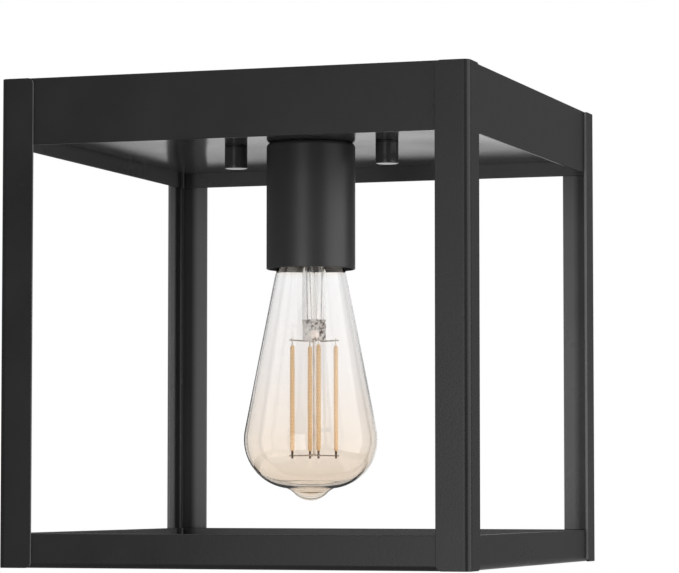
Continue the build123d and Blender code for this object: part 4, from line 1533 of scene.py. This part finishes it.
@dataclass
class Studio:
    """Camera, pale floor, white background and soft lights."""

    camera_place: Point = (0.45646, -1.31698, -0.17138)
    camera_look: Point = (-0.31835, 0.94586, 0.06331)
    lens: float = 169.32
    sensor: float = 36.0
    clip: Flat = (0.01, 100.0)
    floor_height: float = -2.6
    floor_half: float = 30.0
    floor_tone: float = 0.86
    floor_roughness: float = 0.9
    floor_glow: float = 0.9
    even_light: float = 0.75
    behind: Point = (-0.191, 0.982, 0.0)
    room_tones: tuple[Flat, ...] = ((0.0, 0.07), (0.45, 0.08), (0.88, 0.12), (0.973, 0.17), (0.994, 1.0))
    ceiling_tones: tuple[float, ...] = (0.12, 0.5, 0.0, 0.8)
    boxes: tuple[SoftBox, ...] = (
        SoftBox("right_box", (1.0, -0.035, -0.05), (1.2, 1.2), 6.4),
        SoftBox("front_box", (-0.09, -1.65, -0.5), (0.78, 1.4), 6.2),
    )

    def build(self) -> None:
        """Set up the whole studio."""
        bpy.context.scene.view_settings.view_transform = "Standard"
        self.camera()
        self.floor()
        self.world()
        for box in self.boxes:
            box.hang()

    def camera(self) -> None:
        """Place the camera at the photograph's viewing angle."""
        data = bpy.data.cameras.new("view_camera")
        data.lens = self.lens
        data.sensor_width = self.sensor
        data.clip_start, data.clip_end = self.clip
        camera = bpy.data.objects.new("view_camera", data)
        bpy.context.scene.collection.objects.link(camera)
        camera.location = self.camera_place
        camera.rotation_euler = Vector(self.camera_look).to_track_quat("-Z", "Y").to_euler()
        bpy.context.scene.camera = camera

    def floor(self) -> None:
        """Lay a plain pale floor far below the light."""
        size = self.floor_half
        corners = [(-size, -size), (size, -size), (size, size), (-size, size)]
        mesh = bpy.data.meshes.new("pale_floor")
        mesh.from_pydata([(x, y, self.floor_height) for x, y in corners], [], [(0, 1, 2, 3)])
        pen = FinishPen("pale_floor")
        tone = (self.floor_tone, self.floor_tone, self.floor_tone, 1.0)
        mesh.materials.append(pen.surface(tone, self.floor_roughness))
        toward = pen.add("ShaderNodeVectorMath", {0: pen.place()}, operation="NORMALIZE").outputs["Vector"]
        glow = pen.add("ShaderNodeEmission", {"Color": self.backdrop(pen, toward)}).outputs[0]
        share = pen.math("MULTIPLY", self.seen(pen), self.floor_glow)
        mix = pen.add("ShaderNodeMixShader", {"Fac": share, 1: pen.shader.outputs[0], 2: glow})
        pen.feed(pen.output, {"Surface": mix.outputs[0]})
        new_piece("pale_floor", mesh)

    def seen(self, bench: ShaderBench) -> Socket:
        """Whether a ray shows the background: from the camera, a reflection or a refraction.

        Args:
            bench: Nodes to add to.

        Returns:
            A socket that is 1 for those rays, and 0 for rays that light a matt surface, through glass too.
        """
        ray = bench.add("ShaderNodeLightPath").outputs
        total = bench.math("MAXIMUM", ray["Is Camera Ray"], ray["Is Glossy Ray"])
        total = bench.math("MAXIMUM", total, ray["Is Transmission Ray"])
        return bench.math("MULTIPLY", total, bench.math("LESS_THAN", ray["Diffuse Depth"], 0.5))

    def backdrop(self, bench: ShaderBench, direction: Socket) -> Socket:
        """Tone of the studio: white to the camera and through glass, and a plain room in reflections.

        Args:
            bench: Nodes to add to.
            direction: Unit vector from the light.

        Returns:
            The tone socket.
        """
        level = bench.remap(bench.along(direction, self.behind), -1.0, 1.0)
        room = bench.ramp(level, *((position, (tone, tone, tone)) for position, tone in self.room_tones))
        ceiling = bench.remap(bench.part(direction, "Z"), *self.ceiling_tones)
        ray = bench.add("ShaderNodeLightPath").outputs
        tone = bench.math("MAXIMUM", room, ceiling)
        tone = bench.math("MAXIMUM", tone, ray["Is Transmission Ray"])
        return bench.math("MAXIMUM", tone, ray["Is Camera Ray"])

    def world(self) -> None:
        """Set a white background, and an even light on the object."""
        world = bpy.data.worlds.new("studio")
        bpy.context.scene.world = world
        world.use_nodes = True
        bench = ShaderBench(world.node_tree)
        white = (1.0, 1.0, 1.0, 1.0)
        even = bench.add("ShaderNodeBackground", {"Color": white, "Strength": self.even_light})
        direction = bench.add("ShaderNodeTexCoord").outputs["Generated"]
        shown = bench.add("ShaderNodeBackground", {"Color": self.backdrop(bench, direction)})
        sides = {"Fac": self.seen(bench), 1: even.outputs[0], 2: shown.outputs[0]}
        mix = bench.add("ShaderNodeMixShader", sides)
        bench.add("ShaderNodeOutputWorld", {"Surface": mix.outputs[0]})


def main() -> None:
    """Build the light's pieces in order, then the studio."""
    finishes.build()
    ring, row, coil = ring_tree(), row_tree(), coil_tree()
    steps: list[tuple[str, Callable[[], None]]] = [
        ("cage", lambda: Cage().build(ring)),
        ("cup", Cup().build),
        ("cap nuts", lambda: CapNuts().build(coil)),
        ("mounting", lambda: Mounting().build(coil)),
        ("lampholder", lambda: Lampholder().build(coil)),
        ("wiring", lambda: Wiring().build(row)),
        ("bulb", lambda: Bulb().build(ring)),
        ("studio", Studio().build),
    ]
    for name, step in steps:
        step()
        log.info("%s made", name)


if __name__ == "__main__":
    main()
